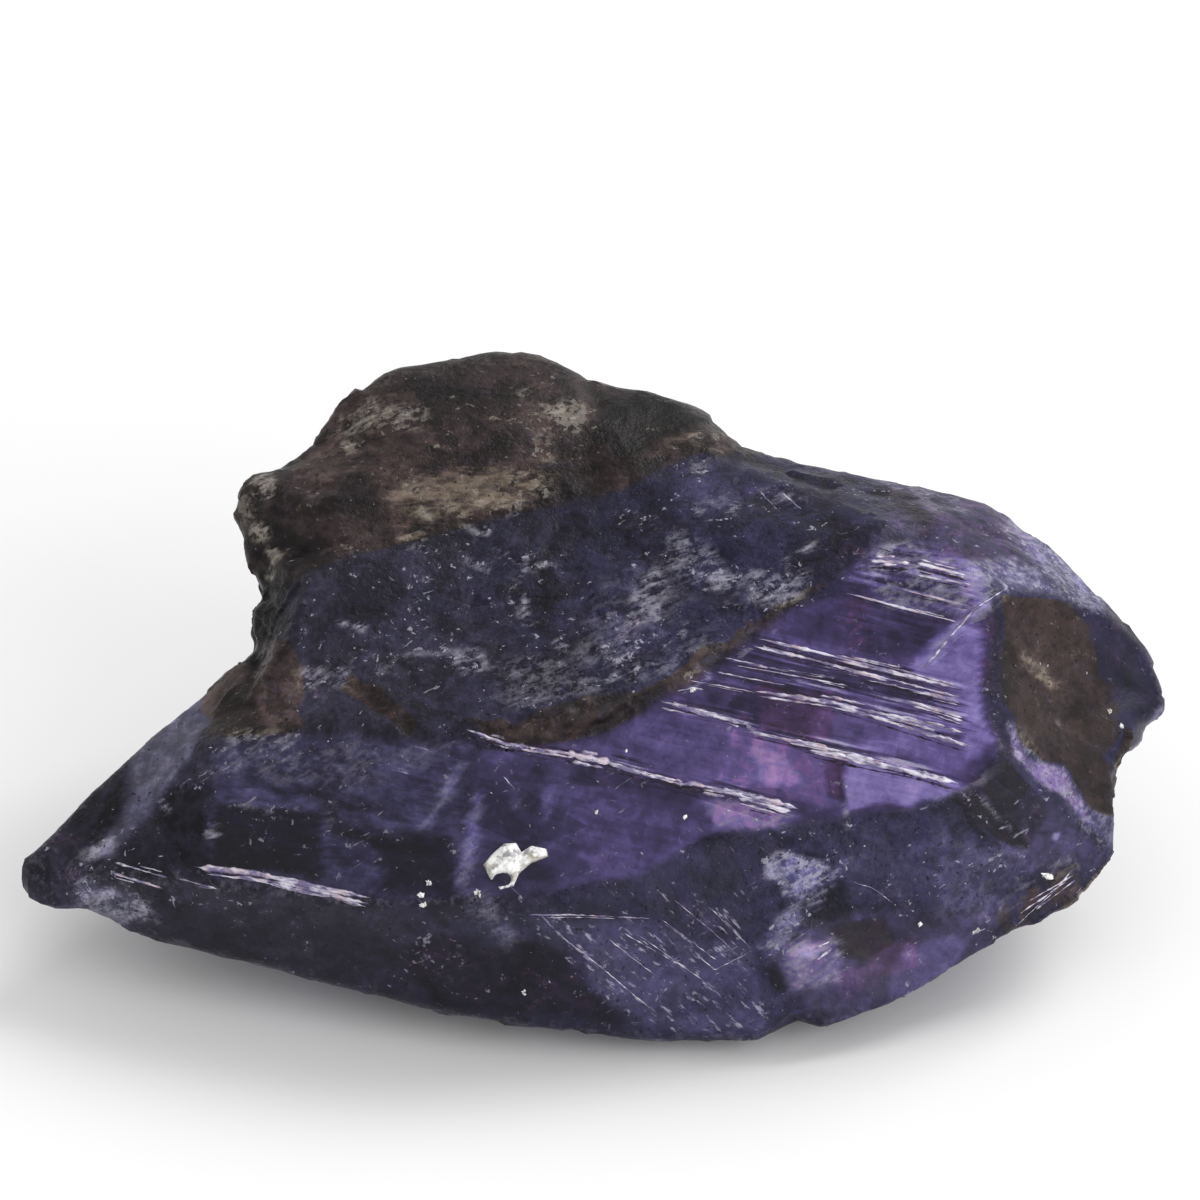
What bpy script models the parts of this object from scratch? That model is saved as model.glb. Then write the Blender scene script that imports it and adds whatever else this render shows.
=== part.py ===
"""One rough tanzanite crystal, lying on the small flat spot under its belly. Metres, +Z up.

The crystal is 30 mm long. A brown weathered shoulder stands up behind the left half, a striated prism face
looks out of the front, and a pointed tip reaches out to the left, clear of the surface it lies on. A crumb
of white mineral sticks to the foot of the prism face.
"""

import math

import bmesh
import bpy
from mathutils import Vector

MM = 0.001

# The broad front of the crystal leans back by LEAN. A corner of the front is measured on a plane that leans
# back as far: across it, up it, and out from it, in millimetres from a point in the middle of the slate face.
LEAN = math.radians(35.0)

# The flat spot lies this far under that point.
REST_DEPTH = 6.2

# Every corner can be seen from this point inside the crystal: across, back and up, in millimetres.
HEART = Vector((0.5, 0.6, -1.2))

TIP = (
    (-15.00, -4.95, 1.7),
    (-15.20, -4.40, 1.3),
    (-14.20, -3.45, 1.2),
    (-13.20, -2.40, 1.0),
    (-11.80, -1.10, 0.7),
    (-10.30, 0.10, 0.4),
    (-9.00, 1.35, 0.1),
)
KNOB = (
    (-9.05, 2.10, -0.2),
    (-8.80, 2.80, -0.5),
    (-9.30, 4.00, -1.0),
    (-9.60, 4.90, -1.5),
    (-9.20, 5.80, -1.8),
    (-8.40, 6.10, -2.0),
)
CREST = (
    (-7.60, 6.70, -2.2),
    (-7.25, 7.20, -2.4),
    (-6.60, 8.00, -2.6),
    (-5.20, 8.65, -3.0),
    (-4.00, 8.90, -3.2),
    (-3.10, 9.20, -3.4),
    (-2.00, 9.25, -3.5),
    (-0.80, 8.65, -3.6),
    (0.60, 8.20, -3.6),
    (1.80, 8.10, -3.6),
    (2.90, 7.40, -3.5),
    (3.90, 6.65, -3.2),
)
TOP_RIGHT = (
    (5.00, 6.25, -2.8),
    (7.00, 5.85, -2.4),
    (8.60, 5.40, -2.2),
    (10.10, 5.10, -2.0),
    (11.60, 4.20, -1.7),
    (12.70, 3.10, -1.5),
    (13.70, 2.10, -1.3),
    (14.40, 1.30, -1.2),
    (14.75, 0.50, -1.1),
    (14.95, -0.20, -1.0),
)
LOWER_EDGE = (
    (13.35, -1.95, 0.7),
    (13.50, -3.00, 0.8),
    (13.45, -4.05, 1.0),
    (12.60, -4.85, 1.3),
    (11.30, -5.70, 1.6),
    (9.90, -6.50, 2.0),
    (8.60, -7.30, 2.4),
    (7.00, -8.10, 2.7),
    (5.90, -8.55, 2.9),
    (4.00, -8.85, 3.0),
    (1.40, -8.85, 3.1),
    (-1.00, -8.55, 3.35),
    (-3.50, -8.20, 3.15),
    (-6.00, -7.65, 2.7),
    (-8.40, -7.05, 2.3),
    (-10.50, -6.55, 1.9),
    (-12.10, -6.15, 1.6),
    (-12.80, -5.70, 1.6),
)
SHOULDER = (
    (-8.00, 1.90, 1.5),
    (-7.60, 3.20, 1.0),
    (-6.40, 3.90, 0.6),
    (-4.60, 4.20, 0.3),
    (-3.00, 4.55, 0.0),
    (-1.40, 5.20, -0.5),
    (1.00, 5.90, -0.9),
    (3.30, 6.20, -1.4),
    (-7.30, 5.20, 0.0),
    (-5.00, 6.30, -0.7),
    (-2.50, 6.90, -1.2),
    (0.30, 7.20, -1.9),
)
# Each flat face lies on a plane: how far out it is at the middle point, and how much further out for every
# millimetre up the lean and for every millimetre across.
SLATE_LIE = (3.8, -0.79, 0.15)
PRISM_LIE = (3.4, -0.31, -0.035)
BAND_LIE = (4.25, -0.31, 0.216)
SCRATCHED_LIE = (7.3, 0.45, -0.128)

SLATE_FACE = (
    (-6.00, 1.20),
    (-3.40, 2.40),
    (-0.60, 2.60),
    (1.80, 3.20),
    (3.60, 4.60),
    (-3.00, 0.60),
)
GROOVE_BRINK = (
    (-6.00, -0.60),
    (-4.80, -0.90),
    (-3.20, -0.75),
    (-1.60, -0.60),
    (0.20, -0.10),
    (2.30, 1.10),
    (4.10, 2.10),
    (5.40, 3.10),
    (6.60, 4.00),
    (7.50, 4.60),
)
GROOVE_FOOT = (
    (-1.60, -1.10),
    (0.30, -0.55),
    (2.50, 0.50),
    (4.30, 1.50),
    (5.60, 2.50),
    (6.90, 3.50),
)
PRISM_RIM = (
    (9.90, 3.30),
    (9.95, 2.10),
    (9.95, 1.00),
    (10.00, -0.10),
    (10.20, -0.90),
    (10.50, -1.50),
    (9.90, -2.10),
    (8.95, -2.55),
    (7.80, -2.75),
    (6.50, -2.95),
    (5.10, -3.15),
    (3.70, -3.40),
    (2.40, -3.95),
    (1.00, -4.75),
    (-3.40, -1.40),
    (-3.30, -3.20),
)
LEFT_BAND = (
    (-10.10, -1.20),
    (-10.10, -2.60),
    (-7.00, -2.80),
    (-10.20, -4.75),
    (-8.20, -5.00),
    (-6.20, -5.20),
    (-4.80, -5.25),
    (-3.50, -5.10),
)
SCRATCHED_FACE = (
    (-1.90, -5.50),
    (1.30, -5.65),
    (4.10, -6.30),
    (-0.70, -7.20),
    (0.30, -7.90),
)
LEFT_BEVEL = (
    (-9.00, -0.20, 1.7),
    (-7.60, -0.60, 2.8),
    (-12.00, -2.60, 1.9),
    (-12.80, -3.60, 2.0),
    (-14.40, -4.60, 1.7),
    (-13.40, -4.60, 2.2),
    (-12.00, -4.60, 2.8),
)
LOWER_STEPS = (
    (-2.10, -6.30, 4.5),
    (6.30, -4.40, 4.0),
    (5.20, -5.40, 3.95),
    (4.70, -7.20, 3.45),
    (5.00, -8.00, 3.2),
    (8.40, -4.40, 3.4),
    (9.90, -3.75, 3.1),
    (10.90, -3.30, 2.8),
    (11.35, -2.30, 2.7),
    (11.90, -4.50, 2.0),
    (12.50, -3.40, 1.8),
    (9.00, -5.90, 2.8),
)
SCOOP_RIM = (
    (10.70, 2.85, 1.8),
    (12.00, 2.60, 0.8),
    (13.20, 2.30, -0.2),
    (14.00, 1.50, -0.7),
    (14.50, 0.60, -0.9),
    (13.80, -0.70, 0.1),
    (12.40, -1.50, 1.5),
    (11.30, -1.30, 2.5),
    (10.60, -0.60, 3.0),
    (10.40, 0.50, 2.75),
    (10.25, 1.60, 2.4),
)
SCOOP_FLOOR = (
    (11.60, 1.40, 1.0),
    (12.60, 0.90, 0.2),
    (12.20, -0.30, 0.8),
    (13.40, 0.60, -0.4),
    (11.30, 0.10, 1.7),
)
MAUVE_TOP = (
    (8.80, 4.50, 0.8),
    (10.40, 4.00, 0.5),
    (11.80, 3.20, 0.2),
    (6.00, 5.20, 0.0),
)

# The back and the underside are measured upright: across, back and up, from the same point.
BACK = (
    (-13.00, -0.80, -2.8),
    (-11.00, 1.30, -2.0),
    (-8.90, 2.20, -0.4),
    (-8.60, 3.20, 0.8),
    (-8.50, 4.20, -1.6),
    (-8.60, 5.00, 0.6),
    (-8.20, 5.80, -1.4),
    (-6.20, 7.80, 1.6),
    (-5.60, 7.60, -1.0),
    (-2.40, 8.90, 2.2),
    (-0.60, 8.70, -0.6),
    (1.60, 8.70, 1.6),
    (4.20, 7.90, -0.4),
    (5.40, 7.10, 1.2),
    (8.60, 6.60, 0.0),
    (12.00, 4.20, -0.6),
    (14.00, 1.80, -1.6),
    (13.20, 0.60, -2.4),
)
UNDERSIDE = (
    (-12.40, -1.60, -4.1),
    (-9.00, 2.20, -4.1),
    (-5.00, 5.80, -3.8),
    (0.00, 7.00, -3.8),
    (5.00, 6.60, -3.6),
    (9.50, 4.80, -3.4),
    (12.50, 2.00, -3.4),
    (13.10, -1.00, -3.2),
    (10.80, -2.20, -4.7),
    (9.00, 1.60, -5.3),
    (5.00, 5.00, -5.4),
    (-1.00, 4.80, -5.5),
    (-5.40, 2.40, -5.5),
    (-8.40, -2.40, -5.2),
    (-11.00, -3.20, -4.6),
    (-4.60, -5.60, -5.5),
    (-1.40, -6.70, -5.6),
    (1.80, -6.90, -5.8),
    (5.20, -6.40, -5.7),
    (8.60, -4.60, -5.3),
)
FLAT_SPOT = (
    (-2.40, -4.60),
    (0.30, -5.40),
    (3.20, -5.50),
    (6.20, -3.80),
    (6.60, -1.00),
    (6.00, 1.80),
    (3.00, 3.60),
    (-0.20, 3.20),
    (-2.80, 1.80),
    (-3.80, -1.60),
)

# The crumb is thickest above its middle. Its rim is measured across and up the prism face, from the middle.
CRUMB_MIDDLE = (-2.20, -4.20)
CRUMB_GAP = 0.30
CRUMB_THICKNESS = 0.50
CRUMB_RIM = (
    (-0.80, -0.05),
    (-0.50, 0.30),
    (-0.10, 0.50),
    (0.20, 0.30),
    (0.75, 0.40),
    (0.80, 0.15),
    (0.25, -0.05),
    (-0.05, -0.60),
    (-0.40, -0.70),
    (-0.65, -0.40),
)
CRUMB_TOP_SHARE = 0.6

VIOLET_SLATE = (0.075, 0.062, 0.125, 1.0)
SLATE_ROUGHNESS = 0.35
CRUMB_WHITE = (0.78, 0.77, 0.74, 1.0)
CRUMB_ROUGHNESS = 0.7


def clear_scene():
    for obj in list(bpy.data.objects):
        bpy.data.objects.remove(obj)


def upright(across, up, out):
    """A point of the leaning front, in upright axes."""
    back = up * math.sin(LEAN) - out * math.cos(LEAN)
    height = up * math.cos(LEAN) + out * math.sin(LEAN)
    return Vector((across, back, height))


def on_face(lie, corners):
    """Corners across and up a flat face, each with how far out it is."""
    middle, per_up, per_across = lie
    return tuple((across, up, middle + per_up * up + per_across * across) for across, up in corners)


def crystal_corners():
    front = TIP + KNOB + CREST + TOP_RIGHT + LOWER_EDGE + SHOULDER
    front += LEFT_BEVEL + LOWER_STEPS + SCOOP_RIM + SCOOP_FLOOR + MAUVE_TOP
    front += on_face(SLATE_LIE, SLATE_FACE + GROOVE_BRINK)
    front += on_face(PRISM_LIE, GROOVE_FOOT + PRISM_RIM)
    front += on_face(BAND_LIE, LEFT_BAND)
    front += on_face(SCRATCHED_LIE, SCRATCHED_FACE)
    corners = [upright(*corner) for corner in front]
    corners += [Vector(corner) for corner in BACK + UNDERSIDE]
    corners += [Vector((across, back, -REST_DEPTH)) for across, back in FLAT_SPOT]
    return corners


def skin_over(corners, heart):
    """A closed skin of triangles. Corners that are neighbours as seen from the heart share an edge."""
    skin = bmesh.new()
    rays = [skin.verts.new((corner - heart).normalized()) for corner in corners]
    bmesh.ops.convex_hull(skin, input=rays)
    for ray, corner in zip(rays, corners):
        ray.co = corner * MM
    bmesh.ops.recalc_face_normals(skin, faces=skin.faces)
    return skin


def resting_origin(corners):
    """The point on the flat spot's plane that is under the middle of the crystal's box."""
    across = [corner.x for corner in corners]
    back = [corner.y for corner in corners]
    return Vector(((min(across) + max(across)) / 2, (min(back) + max(back)) / 2, -REST_DEPTH))


def plain_material(name, colour, roughness):
    material = bpy.data.materials.new(name)
    material.use_nodes = True
    shader = material.node_tree.nodes["Principled BSDF"]
    shader.inputs["Base Color"].default_value = colour
    shader.inputs["Roughness"].default_value = roughness
    shader.inputs["Metallic"].default_value = 0.0
    return material


def solid(name, skin, origin, material):
    bmesh.ops.translate(skin, verts=skin.verts, vec=-origin * MM)
    mesh = bpy.data.meshes.new(name)
    skin.to_mesh(mesh)
    skin.free()
    mesh.materials.append(material)
    obj = bpy.data.objects.new(name, mesh)
    bpy.context.scene.collection.objects.link(obj)
    return obj


def make_crystal():
    """Makes the crystal, and returns the origin that it stands on, for what sticks to it."""
    corners = crystal_corners()
    origin = resting_origin(corners)
    material = plain_material("violet_slate", VIOLET_SLATE, SLATE_ROUGHNESS)
    solid("tanzanite_crystal", skin_over(corners, HEART), origin, material)
    return origin


def crumb_ring(share, height):
    """The crumb's rim drawn in to a share of its width, at a height above the prism face."""
    ring = [(CRUMB_MIDDLE[0] + share * x, CRUMB_MIDDLE[1] + share * y) for x, y in CRUMB_RIM]
    return [upright(x, y, out + height) for x, y, out in on_face(PRISM_LIE, ring)]


def make_crumb(origin):
    foot = crumb_ring(1.0, CRUMB_GAP)
    top = crumb_ring(CRUMB_TOP_SHARE, CRUMB_GAP + CRUMB_THICKNESS)
    heart = sum(foot + top, Vector()) / len(foot + top)
    material = plain_material("white_mineral", CRUMB_WHITE, CRUMB_ROUGHNESS)
    solid("white_crumb", skin_over(foot + top, heart), origin, material)


clear_scene()
make_crumb(make_crystal())
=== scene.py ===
"""The looks of one rough tanzanite crystal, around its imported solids.

The crystal's skin is one closed grid, round the long axis that its growth lines follow. The big faces come
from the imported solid. The marks on them are placed on the front as a person would see it: across, up and
out from the middle of the slate face, in millimetres.
"""

import itertools
import math

import bpy
import numpy as np
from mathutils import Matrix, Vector


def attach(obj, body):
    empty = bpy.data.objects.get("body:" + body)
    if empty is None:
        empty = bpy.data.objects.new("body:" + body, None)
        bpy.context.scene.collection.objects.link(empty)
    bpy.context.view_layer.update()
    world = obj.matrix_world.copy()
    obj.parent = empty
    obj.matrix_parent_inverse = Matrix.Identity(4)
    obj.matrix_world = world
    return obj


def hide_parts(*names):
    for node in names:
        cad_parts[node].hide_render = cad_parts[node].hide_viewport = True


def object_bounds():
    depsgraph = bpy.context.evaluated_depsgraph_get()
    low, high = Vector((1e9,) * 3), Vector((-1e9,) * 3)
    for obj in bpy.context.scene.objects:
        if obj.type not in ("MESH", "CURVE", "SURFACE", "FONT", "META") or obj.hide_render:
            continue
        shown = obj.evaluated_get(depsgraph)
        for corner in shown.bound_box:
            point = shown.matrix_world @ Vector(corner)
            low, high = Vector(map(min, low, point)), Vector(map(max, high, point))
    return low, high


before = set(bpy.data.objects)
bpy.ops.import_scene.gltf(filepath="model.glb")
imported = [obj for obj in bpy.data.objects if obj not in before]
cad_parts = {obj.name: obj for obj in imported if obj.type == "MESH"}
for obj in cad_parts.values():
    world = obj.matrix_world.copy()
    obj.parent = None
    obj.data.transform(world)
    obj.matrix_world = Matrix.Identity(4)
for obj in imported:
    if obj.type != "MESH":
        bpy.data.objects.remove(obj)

CAD_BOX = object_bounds()

MM = 0.001
# How far the front leans back from upright.
LEAN = math.radians(35.0)

# The middle of the slate face and a point deep inside the crystal, in the row frame.
MIDDLE = np.array((0.125, -0.626, 6.2))
HEART = np.array((0.625, -0.026, 5.0))

# The leaning front's own directions: across, up and out.
FRONT = np.array(
    (
        (1.0, 0.0, 0.0),
        (0.0, math.sin(LEAN), math.cos(LEAN)),
        (0.0, -math.cos(LEAN), math.sin(LEAN)),
    )
)
OUT = FRONT[2]

# The way that the growth lines run, on the front.
GROWTH = np.array((0.97, -0.24, 0.04))

# The skin's grid: rings along the crystal, and lines round it, which are this much closer together at the
# front than on average.
RINGS = 270
LINES = 350
FRONT_CROWDING = 0.38
# Half the length and half the thickness of the long round body that the rings are evenly spaced on.
HALF_LENGTH = 15.0
HALF_GIRTH = 7.5
# Light is followed through this many surfaces: the crystal swallows what goes on further.
MOST_BOUNCES = 5
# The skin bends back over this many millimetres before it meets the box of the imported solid: sideways,
# front to back, and upwards.
SOFT_EDGE = np.array((0.15, 0.15, 0.5))

# The heights of the relief, in millimetres: of lumps, fibres, pits, coarse chips and small chips on the brown
# skin and on the slate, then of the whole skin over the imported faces, and of the front's own features.
BROWN_RELIEF = np.array((0.17, 0.03, 0.05, 0.06, 0.05))
SLATE_RELIEF = np.array((0.035, 0.0, 0.015, 0.04, 0.05))
SKIN_LIFT = 0.09
BROWN_LIFT = 0.084
LEDGE_STEP = 0.11
LEDGE_REACH = 0.9
CREVICE_DEPTH = 0.10
CRACK_DEPTH = 0.08
RIDGE_HEIGHT = 0.09
# The scooped hollow at the right end: its middle and its half length and half height.
HOLLOW = ((12.2, 0.6), (1.8, 1.7))
# How many times the skin is softened all over, where it is weathered, in the hollow, and to find its edges.
CRISP_ROUNDS = 1
WORN_ROUNDS = 5
HOLLOW_ROUNDS = 60
EDGE_ROUNDS = 10


def on_front(points):
    """Row-frame points in millimetres, as across, up and out."""
    return (points - MIDDLE) @ FRONT.T


def in_row(marks):
    """Across, up and out, as row-frame points in millimetres."""
    return np.asarray(marks, float) @ FRONT + MIDDLE


def unit(vectors):
    return vectors / np.linalg.norm(vectors, axis=-1, keepdims=True)


def smooth(value, low, high):
    """0 below low, 1 above high, and an S-shaped rise between them."""
    share = np.clip((value - low) / (high - low), 0.0, 1.0)
    return share * share * (3 - 2 * share)


# A lattice of random values repeats after this many cells, and is moved this far, so that every place on the
# crystal is past its start.
LATTICE = 32
LATTICE_SHIFT = 100.0


def waves(points, cell, seed):
    """Smooth random values from -1 to 1. Each corner of a lattice of cells has its own random value, and a
    point takes the blend of the eight corners round it."""
    corners = np.random.default_rng(seed).uniform(-1, 1, (LATTICE, LATTICE, LATTICE))
    place = np.asarray(points, float) / cell + LATTICE_SHIFT
    low = np.floor(place).astype(int)
    share = place - low
    share = share * share * (3 - 2 * share)
    total = np.zeros(len(place))
    for corner in itertools.product((0, 1), repeat=3):
        weight = np.prod(np.where(corner, share, 1 - share), axis=1)
        x, y, z = ((low + corner) % LATTICE).T
        total += weight * corners[x, y, z]
    return total


def rough(points, cell, octaves, seed):
    """Waves on top of waves: each octave has half the cell and half the height of the one before."""
    total = np.zeros(len(points))
    for octave in range(octaves):
        total += waves(points, cell / 2**octave, seed + octave) / 2**octave
    return total


def distance_to_line(across, up, route):
    """How far each point is from a broken line, and how far along the line its nearest place is, from 0 to
    1."""
    route = np.asarray(route, float)
    steps = route[1:] - route[:-1]
    lengths = np.hypot(*steps.T)
    before = np.concatenate(([0.0], np.cumsum(lengths)))
    nearest = np.full(len(across), np.inf)
    along = np.zeros(len(across))
    for start, step, length, so_far in zip(route[:-1], steps, lengths, before):
        share = ((across - start[0]) * step[0] + (up - start[1]) * step[1]) / length**2
        share = np.clip(share, 0, 1)
        away = np.hypot(across - start[0] - share * step[0], up - start[1] - share * step[1])
        closer = away < nearest
        nearest = np.where(closer, away, nearest)
        along = np.where(closer, (so_far + share * length) / before[-1], along)
    return nearest, along


def within(across, up, outline, edge):
    """1 well inside a closed outline, 0 well outside, with a soft edge that wide. A point is inside if a
    line going right from it crosses the outline an odd number of times."""
    outline = list(outline)
    away, _ = distance_to_line(across, up, outline + outline[:1])
    odd = np.zeros(len(across), bool)
    for (x0, y0), (x1, y1) in zip(outline, outline[1:] + outline[:1]):
        spans = (y0 > up) != (y1 > up)
        crossing = x0 + (up - y0) * (x1 - x0) / ((y1 - y0) or 1.0)
        odd ^= spans & (across < crossing)
    return smooth(np.where(odd, away, -away), -edge / 2, edge / 2)


def patch(across, up, middle, size, turn=0.0):
    """A soft oval: 1 at its middle, falling to 0 at its rim. size is its half length and half height,
    turned by that many degrees."""
    cos, sin = math.cos(math.radians(turn)), math.sin(math.radians(turn))
    x, y = across - middle[0], up - middle[1]
    along = (x * cos + y * sin) / size[0]
    aside = (y * cos - x * sin) / size[1]
    return 1 - smooth(np.hypot(along, aside), 0.35, 1.0)


def stripe(across, up, route, width, fade=0.15):
    """A soft line of that width along a route, fading out towards its ends."""
    away, along = distance_to_line(across, up, route)
    ends = smooth(along, 0.0, fade) * (1 - smooth(along, 1 - fade, 1.0)) if fade else 1.0
    return (1 - smooth(away, 0.25 * width, width)) * ends


# Where the big skins and windows of the front lie: across and up, in millimetres.
BROWN_SHOULDER = (
    (-9.4, 1.5), (-8.9, 1.8), (-7.9, 3.3), (-6.5, 3.75), (-5.3, 4.0), (-3.8, 4.3), (-2.0, 4.8), (0.1, 5.4),
    (1.4, 5.95), (2.7, 6.35), (4.2, 6.45), (5.2, 7.0), (4.0, 9.8), (-4.0, 10.5), (-9.0, 9.0), (-11.0, 5.0),
)
BROWN_CHEEK = (
    (-9.6, 1.5), (-8.8, 2.2), (-7.9, 1.1), (-7.6, 0.3), (-7.7, -0.6), (-8.8, -0.9), (-10.2, -0.9),
    (-10.2, 0.2),
)
GEM_FACE = (
    (1.7, 0.25), (4.0, 1.9), (6.2, 2.8), (6.6, 3.9), (8.2, 4.2), (9.9, 3.5), (10.2, 2.3), (10.0, 0.0),
    (10.4, -1.3), (9.9, -2.2), (8.0, -2.8), (5.2, -3.2), (2.9, -3.4), (1.1, -4.6), (-1.4, -4.9),
    (-3.4, -5.0), (-3.5, -3.2), (-3.2, -1.3), (-1.6, -1.1), (0.3, -0.8),
)
BLUE_BAND = ((-10.0, -1.2), (-8.5, -0.9), (-3.3, -1.1), (-3.5, -5.0), (-6.0, -5.2), (-10.2, -4.6))
SCOOP = (
    (10.47, 2.78), (10.58, 2.1), (10.36, 1.0), (10.55, -0.1), (10.9, -1.05), (11.8, -1.6), (12.8, -1.75),
    (13.4, -1.3), (14.0, -0.2), (14.0, 0.5), (13.3, 1.7), (12.3, 2.5),
)
VIOLET_SIDE = ((12.2, 2.7), (13.6, 2.3), (15.2, 1.0), (15.2, -0.4), (13.6, -1.2), (13.2, 0.4), (12.8, 1.6))
BEVEL = (
    (-12.3, -1.1), (-9.6, 1.2), (-9.1, 0.9), (-10.4, -1.1), (-12.6, -4.0), (-13.4, -4.2), (-12.5, -2.8),
    (-12.4, -1.8),
)
BROWN_EDGE = ((10.2, -5.6), (12.1, -4.1), (12.9, -4.1), (12.6, -5.2), (10.6, -6.4))
# The whole smooth hollow facet, with its violet far side.
HOLLOW_FACET = (
    (10.0, 2.2), (10.8, 2.8), (13.4, 2.3), (14.9, 1.0), (15.2, -0.2), (13.4, -2.0), (13.7, -4.2),
    (12.9, -3.6), (10.5, -1.5), (10.2, 0.8),
)
END_FACET = ((11.9, -1.4), (13.35, -1.6), (13.7, -3.1), (12.75, -2.9))
DARK_FLANK = ((9.15, -2.4), (10.4, -1.47), (12.9, -3.7), (13.2, -4.2), (11.5, -4.65), (10.6, -3.9))
LOWER_FACES = (
    (-13.5, -5.2), (-5.5, -5.4), (-1.0, -5.1), (4.2, -3.4), (4.3, -6.4), (4.6, -9.4), (-8.0, -9.0),
    (-15.0, -6.5),
)
WINDOW = (
    (4.7, -6.2), (6.2, -5.6), (8.6, -5.7), (10.6, -5.5), (9.6, -6.8), (6.2, -8.4), (4.8, -7.6), (4.5, -6.6),
)
CORNER = (
    (6.6, 3.9), (8.3, 5.2), (10.2, 5.2), (13.5, 2.4), (12.4, 2.6), (10.9, 2.9), (9.9, 3.5), (8.2, 4.2),
)

# The crevice between slate and gem, with brown clay in its wide end.
CREVICE = (
    (-2.8, -0.75), (-1.5, -0.85), (0.3, -0.6), (1.6, 0.3), (2.8, 0.95), (3.8, 1.7), (5.4, 2.85), (6.5, 3.6),
    (7.2, 4.15),
)
CLAY = (
    (-3.3, -0.6), (-1.5, -0.25), (0.3, 0.0), (1.8, 0.45), (0.9, -0.35), (0.0, -0.9), (-0.8, -1.05),
    (-2.4, -1.0),
)
CRACK = ((-6.6, 0.55), (-5.8, 0.0), (-5.2, -0.5), (-4.7, -0.9))
# Each ledge is a growth step: the face below it stands further out.
LEDGES = (
    ((-3.6, -0.7), (-2.5, -1.1), (-0.6, -1.4), (0.3, -1.65), (1.2, -1.95), (2.3, -2.2), (3.5, -2.35),
     (5.1, -2.8)),
    ((1.6, 0.0), (3.7, -0.6), (4.0, -0.8), (6.9, -1.45), (8.2, -1.85), (9.4, -2.15)),
)
# The corners where the raised pale ridge at the gem's upper right runs.
RIDGE = ((8.4, 0.8), (9.0, 1.5), (9.8, 2.4), (10.6, 2.9))

# How clear each see-through face is, and how smooth each calm one is: outline, soft edge, share.
CLEAR_FACES = (
    (GEM_FACE, 0.2, 1.0),
    (BLUE_BAND, 0.3, 0.55),
    (DARK_FLANK, 0.2, 0.25),
    (WINDOW, 0.5, 0.5),
    (CORNER, 0.4, 0.15),
)
CALM_FACES = ((HOLLOW_FACET, 0.3, 1.0), (LOWER_FACES, 0.5, 0.7), (BEVEL, 0.2, 0.7))

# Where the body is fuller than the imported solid's flat faces: middle, half length and half height, and how
# much fuller.
FULLER = (
    ((-4.2, 9.0), (4.8, 2.2), 0.32),
    ((9.5, 5.2), (3.0, 1.2), 0.12),
    ((-9.2, 2.2), (0.7, 0.8), 0.12),
    ((14.0, -1.05), (0.55, 0.5), 0.25),
    ((12.2, -5.2), (2.2, 1.2), 0.14),
    ((-14.6, -4.9), (1.4, 0.9), 0.25),
)

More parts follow.
